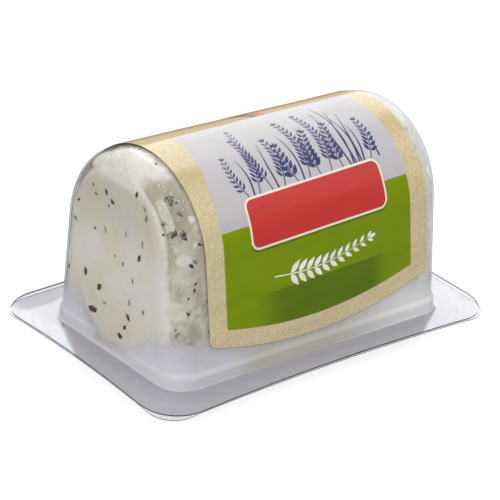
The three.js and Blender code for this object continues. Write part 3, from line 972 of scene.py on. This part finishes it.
class PACK_OT_cheese(bpy.types.Operator):
    """Log of fresh goat cheese, smooth at its ends and crumbly along its sides"""

    bl_idname = "cheese_pack.cheese"
    bl_label = "Cheese log"

    def execute(self, context):
        sizes = context.scene.pack_sizes
        log = add_arch("cheese_log", sizes, sizes.cheese_inset, sizes.cheese_base)
        select_where(log, "EDGE", lambda edge: edge.is_boundary)
        bpy.ops.mesh.edge_face_add()
        select_where(log, "EDGE", lambda edge: lies_at(edge, 2, sizes.cheese_base))
        bpy.ops.mesh.bevel(
            offset=sizes.cheese_base_round, segments=14, profile=0.5, affect="EDGES",
            clamp_overlap=False,
        )
        round_ends(log, sizes, sizes.cheese_inset, sizes.cheese_end_round, 7)
        face_outwards(log, towards_up=False)
        apply_modifier(log, "REMESH", mode="VOXEL", voxel_size=CHEESE_VOXEL)
        apply_modifier(log, "SMOOTH", factor=0.5, iterations=3)
        self.crumble(log, sizes)
        bpy.ops.object.shade_smooth()
        finish_piece(log, "fresh_cheese", curd(context.scene.pack_colours))
        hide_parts("cheese")
        return {"FINISHED"}

    def crumble(self, log, sizes):
        """Raises lumps and crumbs, and presses flat whatever would meet the plastic."""
        names = ("pressed", "side", "hollow", "smeared")
        for name in names:
            log.data.attributes.new(name, "FLOAT", "POINT")
        marks = {name: log.data.attributes[name].data for name in names}
        normals = [vertex.normal.copy() for vertex in log.data.vertices]
        smears = [(arch_point(sizes, offset * MM, distance * MM, -sizes.cheese_inset), half * MM)
                  for offset, distance, half in SMEARS]
        for index, vertex in enumerate(log.data.vertices):
            normal = normals[index]
            lump = noise.fractal(vertex.co / LUMPS[0], 0.8, 2.0, 2)
            crumb = noise.fractal(vertex.co / CRUMBS[0], 0.7, 2.0, 3)
            grain = noise.noise(vertex.co / GRAINS[0])
            depth = depth_in_arch(sizes, vertex.co) + FACE_RAGGED * crumb
            side = 1 - min(smoothstep(*FACE_TURN, abs(normal.x)), smoothstep(*FACE_DEPTH, depth))
            relief = LUMPS[1] * lump + CRUMBS[1] * crumb + GRAINS[1] * grain
            vertex.co += normal * relief * (FACE_RELIEF + (1 - FACE_RELIEF) * side)
            overlap = sizes.wall + CHEESE_CLEARANCE - depth_in_dome(sizes, vertex.co)
            if overlap > 0:
                vertex.co -= normal * overlap
            marks["side"][index].value = side
            marks["pressed"][index].value = smoothstep(*PRESSED, overlap)
            marks["hollow"][index].value = smoothstep(*HOLLOW, -relief)
            marks["smeared"][index].value = max(
                1 - smoothstep(*SMEAR_EDGE, (vertex.co - middle).length / half + 0.5 * crumb)
                for middle, half in smears)


# Herb flakes that show on the near end: place across and up in millimetres, half length
END_HERBS = (
    (10, 32.5, 0.6), (0.5, 37.5, 0.8), (4, 36, 0.5), (-0.5, 35, 0.4), (11, 28, 0.7),
    (4, 28.5, 0.5), (-6.5, 31, 0.8), (-12, 31, 0.9), (-11, 27.5, 1.0), (7, 17.5, 1.1),
    (2, 16, 1.0), (4, 10.2, 1.5), (-8, 13.3, 0.9), (-7, 10.7, 0.7), (-5.5, 8.2, 0.9),
    (-13, 16.5, 0.6), (-12.2, 38.6, 0.8), (-12.9, 36.8, 0.8),
)
# Clusters on the front side: offset along the dome and distance down the arch, half length
SIDE_CLUSTERS = ((-34.6, -14.8, 1.5), (-34.0, -17.8, 0.8), (-36.5, -21.5, 1.4), (-34.6, -22.0, 1.4),
                 (-37.0, -18.6, 0.8), (-33.4, -33.8, 0.6), (-34.6, -38.6, 0.7))
CLUSTER_FLAKES = 15
CLUSTER_KINDS = (0, 1, 0, 1, 2)
# Scattered flakes: how many on each end and on the sides, and their span in millimetres
END_SCATTER = ((-1, 18), (1, 34))
END_ACROSS = 17
END_LEVELS = (5, 43)
SIDE_SCATTER = 330
SIDE_SPAN = 0.47
SIDE_REACH = 56
# Loose grains of curd: how many, and where they lie, in lengths of the dome and millimetres
GRAIN_COUNT = 700
GRAIN_SPAN = (0.38, 0.485)
GRAIN_REACH = 54
FLAKE_SHAPES = 4
GRAIN_SHAPES = 3
# Flakes stand this far off the curd, and their height is this share of their half length
FLAKE_LIFT = 0.02 * MM
FLAKE_FLATNESS = 0.4
MOST_HEIGHT = 0.4 * MM


class PACK_OT_herbs(bpy.types.Operator):
    """Green and brown herb flakes and loose grains of curd on the log"""

    bl_idname = "cheese_pack.herbs"
    bl_label = "Herbs and curd grains"

    def execute(self, context):
        sizes = context.scene.pack_sizes
        colours = context.scene.pack_colours
        self.draw = random.Random(sizes.seed)
        log = bpy.data.objects["cheese_log"]
        self.surface = BVHTree.FromObject(log, context.evaluated_depsgraph_get())
        looks = {
            "green_herb_flakes": colours.herb_green, "brown_herb_flakes": colours.herb_brown,
            "veiled_herb_flakes": colours.herb_veiled,
        }
        kinds = list(looks)
        spots = {kind: [] for kind in kinds}
        for across, up, half in END_HERBS:
            kind = kinds[1] if half >= 1.0 else kinds[self.draw.choice((0, 0, 1, 2))]
            spots[kind].append((self.on_end(sizes, -1, across * MM, up * MM), half * MM))
        for cluster in SIDE_CLUSTERS:
            self.gather(sizes, spots, kinds, *cluster)
        self.scatter(sizes, spots, kinds)
        flakes = self.flake_shapes()
        for kind, places in spots.items():
            met = [spot for spot in places if spot[0]]
            herbs = self.lay(kind, flakes, met, FLAKE_LIFT, FLAKE_FLATNESS)
            finish_piece(herbs, "fresh_cheese", herb(kind, looks[kind]))
        shapes = self.grain_shapes()
        grains = self.lay("curd_grains", shapes, self.grain_spots(sizes), 0.0, 1.0)
        finish_piece(grains, "fresh_cheese", grain_curd(colours))
        for shape in flakes + shapes:
            bpy.data.objects.remove(shape)
        return {"FINISHED"}

    def on_end(self, sizes, side, across, up):
        """Where a line along X meets the log's end, and the way out there."""
        start = Vector((sizes.dome_x + side * sizes.dome_length, across, up))
        return self.meet(start, Vector((-side, 0, 0)))

    def on_side(self, sizes, offset, distance):
        """Where a line into the arch meets the log's side, and the way out there."""
        start = arch_point(sizes, offset, distance, 5 * MM)
        return self.meet(start, (arch_point(sizes, offset, distance, 0.0) - start).normalized())

    def meet(self, start, way):
        hit, normal, _, _ = self.surface.ray_cast(start, way)
        return (hit, normal) if hit else None

    def gather(self, sizes, spots, kinds, offset, distance, half):
        """Crowds flakes round one place on the front side, smaller towards the outside."""
        draw = self.draw
        for count in range(CLUSTER_FLAKES):
            outwards = count / CLUSTER_FLAKES
            nudge = half * MM * draw.uniform(0.3, 0.95) * outwards
            turn = draw.uniform(0, 2 * math.pi)
            place = (offset * MM - sizes.dome_x + nudge * math.cos(turn),
                     distance * MM + 1.3 * nudge * math.sin(turn))
            size = half * MM * draw.uniform(0.25, 0.45) * (1.5 - outwards)
            kind = kinds[CLUSTER_KINDS[count % len(CLUSTER_KINDS)]]
            spots[kind].append((self.on_side(sizes, *place), size))

    def scatter(self, sizes, spots, kinds):
        """Spreads smaller flakes over both ends and all round the sides."""
        draw = self.draw
        for side, count in END_SCATTER:
            for _ in range(count):
                across = sizes.dome_y + draw.uniform(-END_ACROSS, END_ACROSS) * MM
                spot = self.on_end(sizes, side, across, draw.uniform(*END_LEVELS) * MM)
                kind = draw.choices(kinds, (3, 2, 8))[0]
                spots[kind].append((spot, draw.uniform(0.3, 0.8) * MM))
        for _ in range(SIDE_SCATTER):
            offset = draw.uniform(-SIDE_SPAN, SIDE_SPAN) * sizes.dome_length
            spot = self.on_side(sizes, offset, draw.uniform(-SIDE_REACH, SIDE_REACH) * MM)
            kind = draw.choices(kinds, (4, 3, 3))[0]
            spots[kind].append((spot, draw.uniform(0.25, 1.0) * MM))

    def grain_spots(self, sizes):
        draw = self.draw
        spots = []
        for _ in range(GRAIN_COUNT):
            offset = draw.choice((-1, 1)) * draw.uniform(*GRAIN_SPAN) * sizes.dome_length
            spot = self.on_side(sizes, offset, draw.uniform(-GRAIN_REACH, GRAIN_REACH) * MM)
            if spot:
                spots.append((spot, draw.uniform(0.08, 0.26) * MM))
        return spots

    def flake_shapes(self):
        """Torn leaf shapes, two metres long before they are scaled, with a thin edge."""
        shapes = []
        for number in range(FLAKE_SHAPES):
            flake = add_grid(f"flake_shape_{number}", 4, 2, 2, 2)
            width = self.draw.uniform(0.5, 0.8)
            for vertex in flake.data.vertices:
                taper = 1 - 0.6 * abs(vertex.co.x) ** 2
                vertex.co.y *= width * taper * self.draw.uniform(0.4, 1.4)
                vertex.co.x *= self.draw.uniform(0.7, 1.15)
                vertex.co.z = 0.1 * self.draw.uniform(-1, 1) - 0.1 * vertex.co.x ** 2
            apply_modifier(flake, "SOLIDIFY", thickness=0.3, offset=0)
            bpy.ops.object.mode_set(mode="EDIT")
            face_outwards(flake, towards_up=False)
            bpy.ops.object.mode_set(mode="OBJECT")
            shapes.append(flake)
        return shapes

    def grain_shapes(self):
        """Small uneven grains, two metres across before they are scaled."""
        shapes = []
        for number in range(GRAIN_SHAPES):
            deselect()
            bpy.ops.mesh.primitive_ico_sphere_add(subdivisions=2, radius=1)
            grain = start_piece(f"grain_shape_{number}")
            bpy.ops.transform.resize(value=(1, self.draw.uniform(0.6, 0.9), 0.6),
                                     center_override=(0, 0, 0))
            bpy.ops.object.mode_set(mode="OBJECT")
            for vertex in grain.data.vertices:
                vertex.co *= 1 + 0.3 * noise.noise(vertex.co * 1.6 + Vector((number, 0, 0)))
            shapes.append(grain)
        return shapes

    def lay(self, name, shapes, spots, lift, flatness):
        """Copies the shapes to their spots, turned to the surface, and joins them."""
        copies = []
        for (hit, normal), half in spots:
            copy = self.draw.choice(shapes).copy()
            copy.data = copy.data.copy()
            bpy.context.collection.objects.link(copy)
            turn = Matrix.Rotation(self.draw.uniform(0, 2 * math.pi), 4, "Z")
            width = half * self.draw.uniform(0.7, 1.2)
            flat = Matrix.Diagonal((half, width, min(half, MOST_HEIGHT) * flatness, 1))
            tilt = normal.to_track_quat("Z", "Y").to_matrix().to_4x4()
            place = Matrix.Translation(hit + normal * lift)
            copy.data.transform(place @ tilt @ turn @ flat)
            copies.append(copy)
        joined = join_pieces(copies, name)
        bpy.ops.object.shade_smooth_by_angle(angle=SMOOTH_ANGLE)
        return joined


def herb(name, colour):
    """Dried herb leaf, moist from the curd."""
    material, make = new_material(name)
    dark = tuple(0.55 * channel for channel in colour)
    light = tuple(min(1.0, 1.5 * channel) for channel in colour)
    mottle = mottled(make, make.place(), (colour, light, dark), HERB_MOTTLE)
    make.surface(make.principled(
        Base_Color=mottle["Colour"], Roughness=0.6, Specular_IOR_Level=0.3,
        Normal=make.bump(mottle["Height"], 0.05 * MM, strength=0.6),
    ))
    return material


def grain_curd(colours):
    """Loose white grains of curd."""
    material, make = new_material("curd_grain")
    grain = (colours.curd_pressed, colours.curd, colours.curd_dark_and_shade)
    mottle = mottled(make, make.place(), grain, GRAIN_MOTTLE)
    make.surface(make.principled(
        Base_Color=mottle["Colour"], Roughness=0.35, Coat_Weight=0.4, Coat_Roughness=0.15,
        Subsurface_Weight=0.3, Subsurface_Radius=(1.0, 0.85, 0.6), Subsurface_Scale=0.8 * MM,
        Normal=make.bump(mottle["Height"], 0.04 * MM, strength=0.5),
    ))
    return material


# Layout of the print in millimetres, along the dome and down its arch from the crown
FIELD_LEFT = (-22.2, -24.9)
FIELD_LEFT_SPAN = (-2.0, 22.0)
FIELD_RIGHT = 24.8
FIELD_BOTTOM = 46.3
GREEN_TOP = 22.9
BAND_TOP = 38.3
BAND_COMES = (-19.0, -9.0)
BAND_GOES = (13.0, 19.0)
BAND = 0.8
PANEL = {"Middle_along": 0.3, "Middle_across": -23.0, "Half_length": 17.7, "Half_width": 4.9, "Corner": 1.6}
PANEL_OUTLINE = 0.46
PANEL_SHADOW = 0.5
SHADOW = 0.85
RIDGE_BAND = (2.2, 8.0)
# Painted shade darkens the kraft border below the ridge, and most on the ridge itself
KRAFT_SHADE_COMES = (7.0, 9.4)
KRAFT_SHADE_GOES = (9.0, 17.0)
KRAFT_SHADE_BELOW = 0.4
KRAFT_SHADE_RIDGE = 0.75
# Stripes on the ridge: their middles, half width and lean
STRIPES = (2.2, 4.4)
STRIPE_HALF = 0.65
STRIPE_LEAN = 0.6
INK_EDGE = 0.06
# Fibres of the paper: spacing, values of the noise between which they come in, and share
FIBRE_SPACING = 0.28
FIBRE_NOISE = (0.4, 0.64)
FIBRES = 0.45
# Crumples that only the bump shows: their height against the paper's grain, and their spacing
CRUMPLE = 110.0
CRUMPLE_SPACING = 7.0
# Waves in the wrap's shape
WAVE_SPACING = 13 * MM
WAVE_HEIGHT = 0.072 * MM


def printed_paper(colours, sizes):
    """Coated paper with a kraft border, a white field, a green field and a bare red panel."""
    material, make = new_material("printed_wrap")
    place = make.place()
    spot = make.attribute("print_place", "Vector")
    along, signed, _ = make.axes(spot)
    down = make.math("ABSOLUTE", signed)

    def below(value, limit):
        return make.under(value, limit, INK_EDGE)

    def in_panel(across, grow=0.0):
        return below(make.group(field_group(), Along=along, Across=across, **PANEL)["Distance"], grow)

    left = make.blend(make.rise(down, *FIELD_LEFT_SPAN), *FIELD_LEFT)
    bow = make.math("DIVIDE", make.math("POWER", make.math("ABSOLUTE", along), 2.0),
                    2 * sizes.wrap_bow / MM)
    bottom = make.minus(FIELD_BOTTOM, bow)
    field = make.times(below(left, along), below(along, FIELD_RIGHT), below(down, bottom))
    ridge = make.times(below(RIDGE_BAND[0], signed), below(signed, RIDGE_BAND[1]))
    green = make.times(field, below(GREEN_TOP, down))

    warp, weft = (
        make.noise(make.stretch(spot, scale), FIBRE_SPACING, detail=3.0)
        for scale in ((1.0, 0.2, 1.0), (0.2, 1.0, 1.0))
    )
    weave = make.times(make.math("ADD", warp, weft), 0.5)
    paper = (colours.paper_kraft, colours.paper_kraft, colours.paper_kraft_fibre_and_shade)
    kraft = mottled(make, place, paper, KRAFT_MOTTLE)["Colour"]
    kraft = make.mix(make.times(make.rise(weave, *FIBRE_NOISE), FIBRES), kraft, colours.paper_kraft_fibre_and_shade)
    # Painted shade: the kraft darkens below the ridge and on the ridge
    kraft_shade = make.times(make.rise(down, *KRAFT_SHADE_COMES), make.rest(make.rise(down, *KRAFT_SHADE_GOES)))
    kraft_shade = make.most(make.times(kraft_shade, KRAFT_SHADE_BELOW), make.times(ridge, KRAFT_SHADE_RIDGE))
    kraft = make.mix(kraft_shade, kraft, colours.paper_kraft_fibre_and_shade)

    colour = make.mix(field, kraft, colours.paper_white)
    colour = make.mix(green, colour, colours.ink_green)
    band = make.minus(make.rise(along, *BAND_COMES), make.rise(along, *BAND_GOES))
    band = make.times(band, below(BAND_TOP, down), below(signed, 0.0), green)
    colour = make.mix(make.times(band, BAND), colour, colours.ink_green_dark)
    shadow = in_panel(make.math("ADD", signed, PANEL_SHADOW), PANEL_OUTLINE)
    colour = make.mix(make.times(shadow, SHADOW), colour, colours.ink_green_dark)
    colour = make.mix(in_panel(signed, PANEL_OUTLINE), colour, colours.ink_cream)
    colour = make.mix(in_panel(signed), colour, colours.ink_red)
    colour = make.mix(ridge, colour, kraft)
    leaning = make.math("ADD", along, make.times(signed, STRIPE_LEAN))
    for middle, dye in zip(STRIPES, (colours.ink_blue, colours.ink_red)):
        stripe = below(make.apart(leaning, middle), STRIPE_HALF)
        colour = make.mix(make.times(ridge, stripe), colour, dye)

    tooth = make.noise(place, 0.12 * MM, detail=2.0)
    grain = make.math("ADD", make.times(tooth, 0.5), weave)
    crumple = make.noise(make.stretch(spot, (0.5, 1.0, 1.0)), CRUMPLE_SPACING, detail=1.0, distortion=0.6)
    make.surface(make.principled(
        Base_Color=colour,
        Roughness=make.blend(make.rise(tooth, 0.3, 0.7), 0.36, 0.46),
        Specular_IOR_Level=0.07,
        Coat_Weight=0.42,
        Coat_Roughness=0.1,
        Normal=make.bump(make.math("MULTIPLY_ADD", crumple, CRUMPLE, grain), 0.015 * MM, strength=0.5),
    ))
    return material


def wrap_point(sizes, along, across, lift):
    """A point of the wrap, from its place on the flat print."""
    wave = noise.noise(Vector((along, 0.7 * across, 0)) / WAVE_SPACING)
    offset = along * math.cos(sizes.wrap_turn) - across * math.sin(sizes.wrap_turn)
    distance = along * math.sin(sizes.wrap_turn) + across * math.cos(sizes.wrap_turn)
    return arch_point(sizes, offset, distance, sizes.wrap_gap + WAVE_HEIGHT * (1 + wave) / 2 + lift)


class PACK_OT_wrap(bpy.types.Operator):
    """Printed paper wrap over the dome"""

    bl_idname = "cheese_pack.wrap"
    bl_label = "Printed wrap"

    def execute(self, context):
        sizes = context.scene.pack_sizes
        wrap = add_grid("printed_wrap", *WRAP_GRID, sizes.wrap_length, 2 * sizes.wrap_reach)
        spots = wrap.data.attributes.new("print_place", "FLOAT_VECTOR", "POINT")
        for index, vertex in enumerate(wrap.data.vertices):
            along = vertex.co.x
            across = self.trimmed(sizes, along, vertex.co.y)
            spots.data[index].vector = (along / MM, across / MM, 0)
            vertex.co = wrap_point(sizes, along, across, sizes.wrap_wall)
        give_wall(wrap, sizes.wrap_wall)
        finish_piece(wrap, "printed_wrap", printed_paper(context.scene.pack_colours, sizes))
        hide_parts("wrap")
        return {"FINISHED"}

    def trimmed(self, sizes, along, across):
        """The place of a row once the lower edges are bowed and the corners rounded."""
        arc_end = sizes.crown_radius * (math.pi / 2 - sizes.side_draft)
        to_end = min(sizes.wrap_length / 2 - abs(along), sizes.wrap_corner)
        corner = sizes.wrap_corner - math.sqrt(
            max(sizes.wrap_corner ** 2 - (sizes.wrap_corner - to_end) ** 2, 0.0))
        reach = sizes.wrap_reach - along ** 2 / (2 * sizes.wrap_bow) - corner
        below = max(abs(across) - arc_end, 0.0) / (sizes.wrap_reach - arc_end)
        distance = min(abs(across), arc_end) + below * (reach - arc_end)
        return math.copysign(distance, across)


# Level on the print, in millimetres as all that follows, where the blue sprigs and blades stand
BLUE_FOOT = -17.6
# Blue sprigs: foot along the print, tip, sideways bend, leaf pairs, leaf length and width
BLUE_SPRIGS = (
    (-15.8, (-17.4, -8.5), 0.9, 8, 1.8, 0.6),
    (-13.0, (-12.2, -4.5), -1.0, 11, 2.0, 0.65),
    (-9.6, (-10.6, -1.5), 1.2, 13, 1.9, 0.55),
    (-6.4, (-5.4, -6.8), -0.8, 9, 2.3, 0.8),
    (-2.8, (-3.8, -9.0), 0.6, 6, 2.7, 1.2),
    (0.4, (0.8, -3.0), -1.1, 12, 2.2, 0.85),
    (3.2, (4.6, -7.4), 0.9, 8, 2.7, 1.2),
    (6.2, (6.6, -2.2), -1.2, 13, 2.1, 0.75),
    (9.4, (10.8, -7.0), 0.8, 8, 2.6, 1.1),
    (17.2, (19.0, -8.0), -0.9, 8, 2.3, 0.9),
)
# Blue blades: foot along the print, tip and sideways bend
BLUE_BLADES = (
    (11.6, (10.9, -2.6), 0.7), (12.4, (12.6, -0.8), -0.6), (13.1, (14.4, -3.4), 0.9),
    (13.9, (13.6, -5.2), -0.8), (14.6, (16.4, -4.6), 0.6), (15.3, (16.0, -8.4), -0.5),
    (-8.0, (-7.4, -7.0), 0.6), (-14.4, (-14.8, -9.6), -0.5), (-1.2, (-1.8, -6.2), -0.6),
    (19.6, (20.4, -12.2), 0.4),
)
WHITE_SPRIG = ((-12.5, -35.2), (13.5, -33.6), -1.6, 11, 3.6, 1.5)
INK_LIFT = 0.012 * MM
INK_WALL = 0.01 * MM
STEM_WIDTH = 0.24
BLADE_WIDTH = 0.42
# Leaves stand from here on over this share of the stem, smaller and closer to it towards the tip
LEAVES_FROM = 0.16
LEAVES_OVER = 0.8
LEAF_SHRINK = 0.55
LEAF_TURN = 52
LEAF_CLOSES = 14


class PACK_OT_motifs(bpy.types.Operator):
    """Printed herb sprigs on the wrap"""

    bl_idname = "cheese_pack.motifs"
    bl_label = "Printed motifs"

    def execute(self, context):
        sizes = context.scene.pack_sizes
        colours = context.scene.pack_colours
        blue_sprigs = [((foot, BLUE_FOOT), *others) for foot, *others in BLUE_SPRIGS]
        jobs = (
            ("blue_sprigs", blue_sprigs, BLUE_BLADES, colours.ink_blue),
            ("white_sprig", (WHITE_SPRIG,), (), colours.ink_cream),
        )
        for name, sprigs, blades, colour in jobs:
            self.parts = []
            for sprig in sprigs:
                self.add_sprig(*sprig)
            for foot, tip, bend in blades:
                self.add_strip((foot, BLUE_FOOT), tip, bend, BLADE_WIDTH)
            motif = join_pieces(self.parts, name)
            for vertex in motif.data.vertices:
                lift = sizes.wrap_wall + INK_LIFT + INK_WALL
                vertex.co = wrap_point(sizes, vertex.co.x * MM, vertex.co.y * MM, lift)
            apply_modifier(motif, "SOLIDIFY", thickness=INK_WALL, offset=-1)
            finish_piece(motif, "printed_wrap", ink(name, colour))
        return {"FINISHED"}

    def stem_point(self, foot, tip, bend, share):
        """A point and the way onwards on a stem that bends to one side."""
        foot, tip = Vector(foot), Vector(tip)
        way = tip - foot
        aside = Vector((-way.y, way.x)).normalized()
        point = foot + way * share + aside * bend * math.sin(math.pi * share)
        onward = way + aside * bend * math.pi * math.cos(math.pi * share)
        return point, onward.normalized()

    def add_strip(self, foot, tip, bend, width):
        """A thin blade or stem, widest near its foot and pointed at its tip."""
        strip = add_grid("strip", 24, 1)
        for vertex in strip.data.vertices:
            share = vertex.co.x + 0.5
            point, onward = self.stem_point(foot, tip, bend, share)
            aside = Vector((-onward.y, onward.x))
            spread = width * vertex.co.y * (1.0 - 0.85 * share ** 2)
            vertex.co = (*(point + aside * spread), 0)
        self.parts.append(strip)

    def add_leaf(self, root, way, length, width):
        leaf = add_grid("leaf", 8, 2)
        aside = Vector((-way.y, way.x))
        for vertex in leaf.data.vertices:
            share = vertex.co.x + 0.5
            swell = max(math.sin(math.pi * share ** 0.8), 0.04)
            point = root + way * length * share + aside * width * vertex.co.y * swell
            vertex.co = (*point, 0)
        self.parts.append(leaf)

    def add_sprig(self, foot, tip, bend, pairs, length, width):
        self.add_strip(foot, tip, bend, STEM_WIDTH)
        for pair in range(pairs):
            share = LEAVES_FROM + LEAVES_OVER * pair / (pairs - 1)
            root, onward = self.stem_point(foot, tip, bend, share)
            size = 1.0 - LEAF_SHRINK * share
            for side in (-1, 1):
                turn = side * math.radians(LEAF_TURN - LEAF_CLOSES * share)
                way = Vector((onward.x * math.cos(turn) - onward.y * math.sin(turn),
                              onward.x * math.sin(turn) + onward.y * math.cos(turn)))
                self.add_leaf(root + way * 0.25, way, length * size, width * size)
        root, onward = self.stem_point(foot, tip, bend, 1.0)
        self.add_leaf(root - onward * 0.3, onward, 0.5 * length, 0.6 * width)


def ink(name, colour):
    """Printing ink with a faint grain of the paper."""
    material, make = new_material(name)
    light = tuple(min(1.0, 1.35 * channel + 0.02) for channel in colour)
    mottle = mottled(make, make.place(), (colour, light, light), INK_MOTTLE)
    make.surface(make.principled(Base_Color=mottle["Colour"], Roughness=0.38))
    return material


# Camera: turn about Z from the front, height over the horizon, lean of the picture
CAMERA_TURN = math.radians(-40.3)
CAMERA_RISE = math.radians(24.64)
CAMERA_ROLL = math.radians(3.41)
CAMERA_AIM = Vector((-1.92, -1.67, 16.78)) * MM
CAMERA_DISTANCE = 436.8 * MM
CAMERA_LENS = 148.1
CAMERA_SENSOR = 36.0
CAMERA_SEES_FROM = 10 * MM
FLOOR_SIZE = 6.0
FLOOR_GLOW = 0.86
FLOOR_BOUNCE = (0.62, 0.62, 0.64)
FLOOR_MIRRORED = (0.15, 0.15, 0.16)
WHITE = (1.0, 1.0, 1.0)
# Light of the sky at, above and high over the horizon, and the heights where it changes
SKY = (0.1, 0.3, 1.2)
SKY_LOW = (-0.05, 0.35)
SKY_HIGH = (0.25, 0.95)
# A pale backdrop: its light, the way to it and how near to that way it begins
BACKDROP = 1.0
BACKDROP_WAY = (0.65, 0.76, 0.0)
BACKDROP_SPAN = (0.45, 0.85)
KEY = {"place": (-0.52, -0.28, 0.36), "size": 0.42, "power": 1.75}
FILL = {"place": (0.55, -0.35, 0.35), "size": 0.5, "power": 0.4}
BACK = {"place": (0.05, 0.55, 0.5), "size": 0.5, "power": 0.3}
# A softbox that only shows as a reflection
SHINE = {"place": (0.38, 0.29, 0.36), "size": 0.56, "power": 1.8}


class PACK_OT_stage(bpy.types.Operator):
    """Pale floor, soft lights and the camera"""

    bl_idname = "cheese_pack.stage"
    bl_label = "Stage"

    def execute(self, context):
        deselect()
        bpy.ops.mesh.primitive_plane_add(size=FLOOR_SIZE, location=(0, 0, 0))
        floor = bpy.context.object
        floor.name = "floor"
        paint(floor, floor_paint(context.scene.pack_colours))
        self.light_sky(context)
        for name, lamp in (("key", KEY), ("fill", FILL), ("back", BACK)):
            self.add_softbox(name, **lamp)
        shine = self.add_softbox("shine", **SHINE)
        shine.visible_diffuse = False
        self.set_camera(context)
        context.scene.view_settings.view_transform = "Standard"
        return {"FINISHED"}

    def light_sky(self, context):
        world = bpy.data.worlds.new("studio")
        world.use_nodes = True
        world.node_tree.nodes.clear()
        make = Maker(world.node_tree)
        way = make.add("ShaderNodeTexCoord").outputs["Generated"]
        height = make.axes(way)[2]
        low = make.blend(make.rise(height, *SKY_LOW), SKY[0], SKY[1])
        behind = make.add("ShaderNodeVectorMath", operation="DOT_PRODUCT")
        towards = make.feed_all(behind, way, BACKDROP_WAY)["Value"]
        low = make.blend(make.rise(towards, *BACKDROP_SPAN), low, BACKDROP)
        glow = make.blend(make.rise(height, *SKY_HIGH), low, SKY[2])
        light = make.put("Background", Color=WHITE, Strength=glow)
        make.feed(make.add("ShaderNodeOutputWorld").inputs["Surface"], light)
        context.scene.world = world

    def add_softbox(self, name, place, size, power):
        deselect()
        away = Vector(place).normalized()
        level = (Vector((1, 0, 0)) - away * away.x).normalized()
        turned = Matrix((level, away.cross(level), away)).transposed()
        bpy.ops.object.light_add(type="AREA", location=place, rotation=turned.to_euler())
        lamp = bpy.context.object
        lamp.name = name
        lamp.data.shape = "SQUARE"
        lamp.data.size = size
        lamp.data.energy = power
        return lamp

    def set_camera(self, context):
        back = Vector((
            math.sin(CAMERA_TURN) * math.cos(CAMERA_RISE),
            -math.cos(CAMERA_TURN) * math.cos(CAMERA_RISE),
            math.sin(CAMERA_RISE),
        ))
        level = Vector((math.cos(CAMERA_TURN), math.sin(CAMERA_TURN), 0))
        upright = back.cross(level)
        right = level * math.cos(CAMERA_ROLL) + upright * math.sin(CAMERA_ROLL)
        up = upright * math.cos(CAMERA_ROLL) - level * math.sin(CAMERA_ROLL)
        deselect()
        bpy.ops.object.camera_add()
        camera = bpy.context.object
        turned = Matrix((right, up, back)).transposed().to_4x4()
        camera.matrix_world = Matrix.Translation(CAMERA_AIM + back * CAMERA_DISTANCE) @ turned
        camera.data.lens = CAMERA_LENS
        camera.data.sensor_width = CAMERA_SENSOR
        camera.data.clip_start = CAMERA_SEES_FROM
        context.scene.camera = camera


def floor_paint(colours):
    """Pale to the camera, while plain grey light comes back from it to the pack."""
    material, make = new_material("floor_paint")
    shade = make.rise(make.noise(make.place(), 0.4), 0.2, 0.8)
    colour = make.mix(shade, colours.floor, tuple(0.99 * channel for channel in colours.floor))
    seen = make.principled(
        Base_Color=colour, Roughness=0.7, Emission_Color=WHITE, Emission_Strength=FLOOR_GLOW,
    )
    rays = make.add("ShaderNodeLightPath").outputs
    bounce = make.mix(rays["Is Glossy Ray"], FLOOR_BOUNCE, FLOOR_MIRRORED)
    lighting = make.put("BsdfDiffuse", Color=bounce)
    make.surface(make.mix_shader(rays["Is Camera Ray"], lighting, seen))
    return material



class PACK_PT_panel(bpy.types.Panel):
    """Lists the steps that build the cheese log"""

    bl_label = "Goat cheese log"
    bl_idname = "PACK_PT_panel"
    bl_space_type = "VIEW_3D"
    bl_region_type = "UI"
    bl_category = "Cheese"

    def draw(self, context):
        for step in STEPS:
            self.layout.operator(step.bl_idname)
        for group in (context.scene.pack_sizes, context.scene.pack_colours):
            box = self.layout.box()
            for name in group.__annotations__:
                box.prop(group, name)


STEPS = (
    PACK_OT_stage, PACK_OT_shell, PACK_OT_base_film, PACK_OT_cheese, PACK_OT_herbs, PACK_OT_wrap,
    PACK_OT_motifs,
)
CLASSES = (PackSizes, PackColours, *STEPS, PACK_PT_panel)


def register():
    for item in CLASSES:
        bpy.utils.register_class(item)
    bpy.types.Scene.pack_sizes = PointerProperty(type=PackSizes)
    bpy.types.Scene.pack_colours = PointerProperty(type=PackColours)


def unregister():
    del bpy.types.Scene.pack_colours
    del bpy.types.Scene.pack_sizes
    for item in reversed(CLASSES):
        bpy.utils.unregister_class(item)


def main():
    register()
    bpy.ops.cheese_pack.stage()
    bpy.ops.cheese_pack.shell()
    bpy.ops.cheese_pack.base_film()
    bpy.ops.cheese_pack.cheese()
    bpy.ops.cheese_pack.herbs()
    bpy.ops.cheese_pack.wrap()
    bpy.ops.cheese_pack.motifs()
    deselect()


if __name__ == "__main__":
    main()
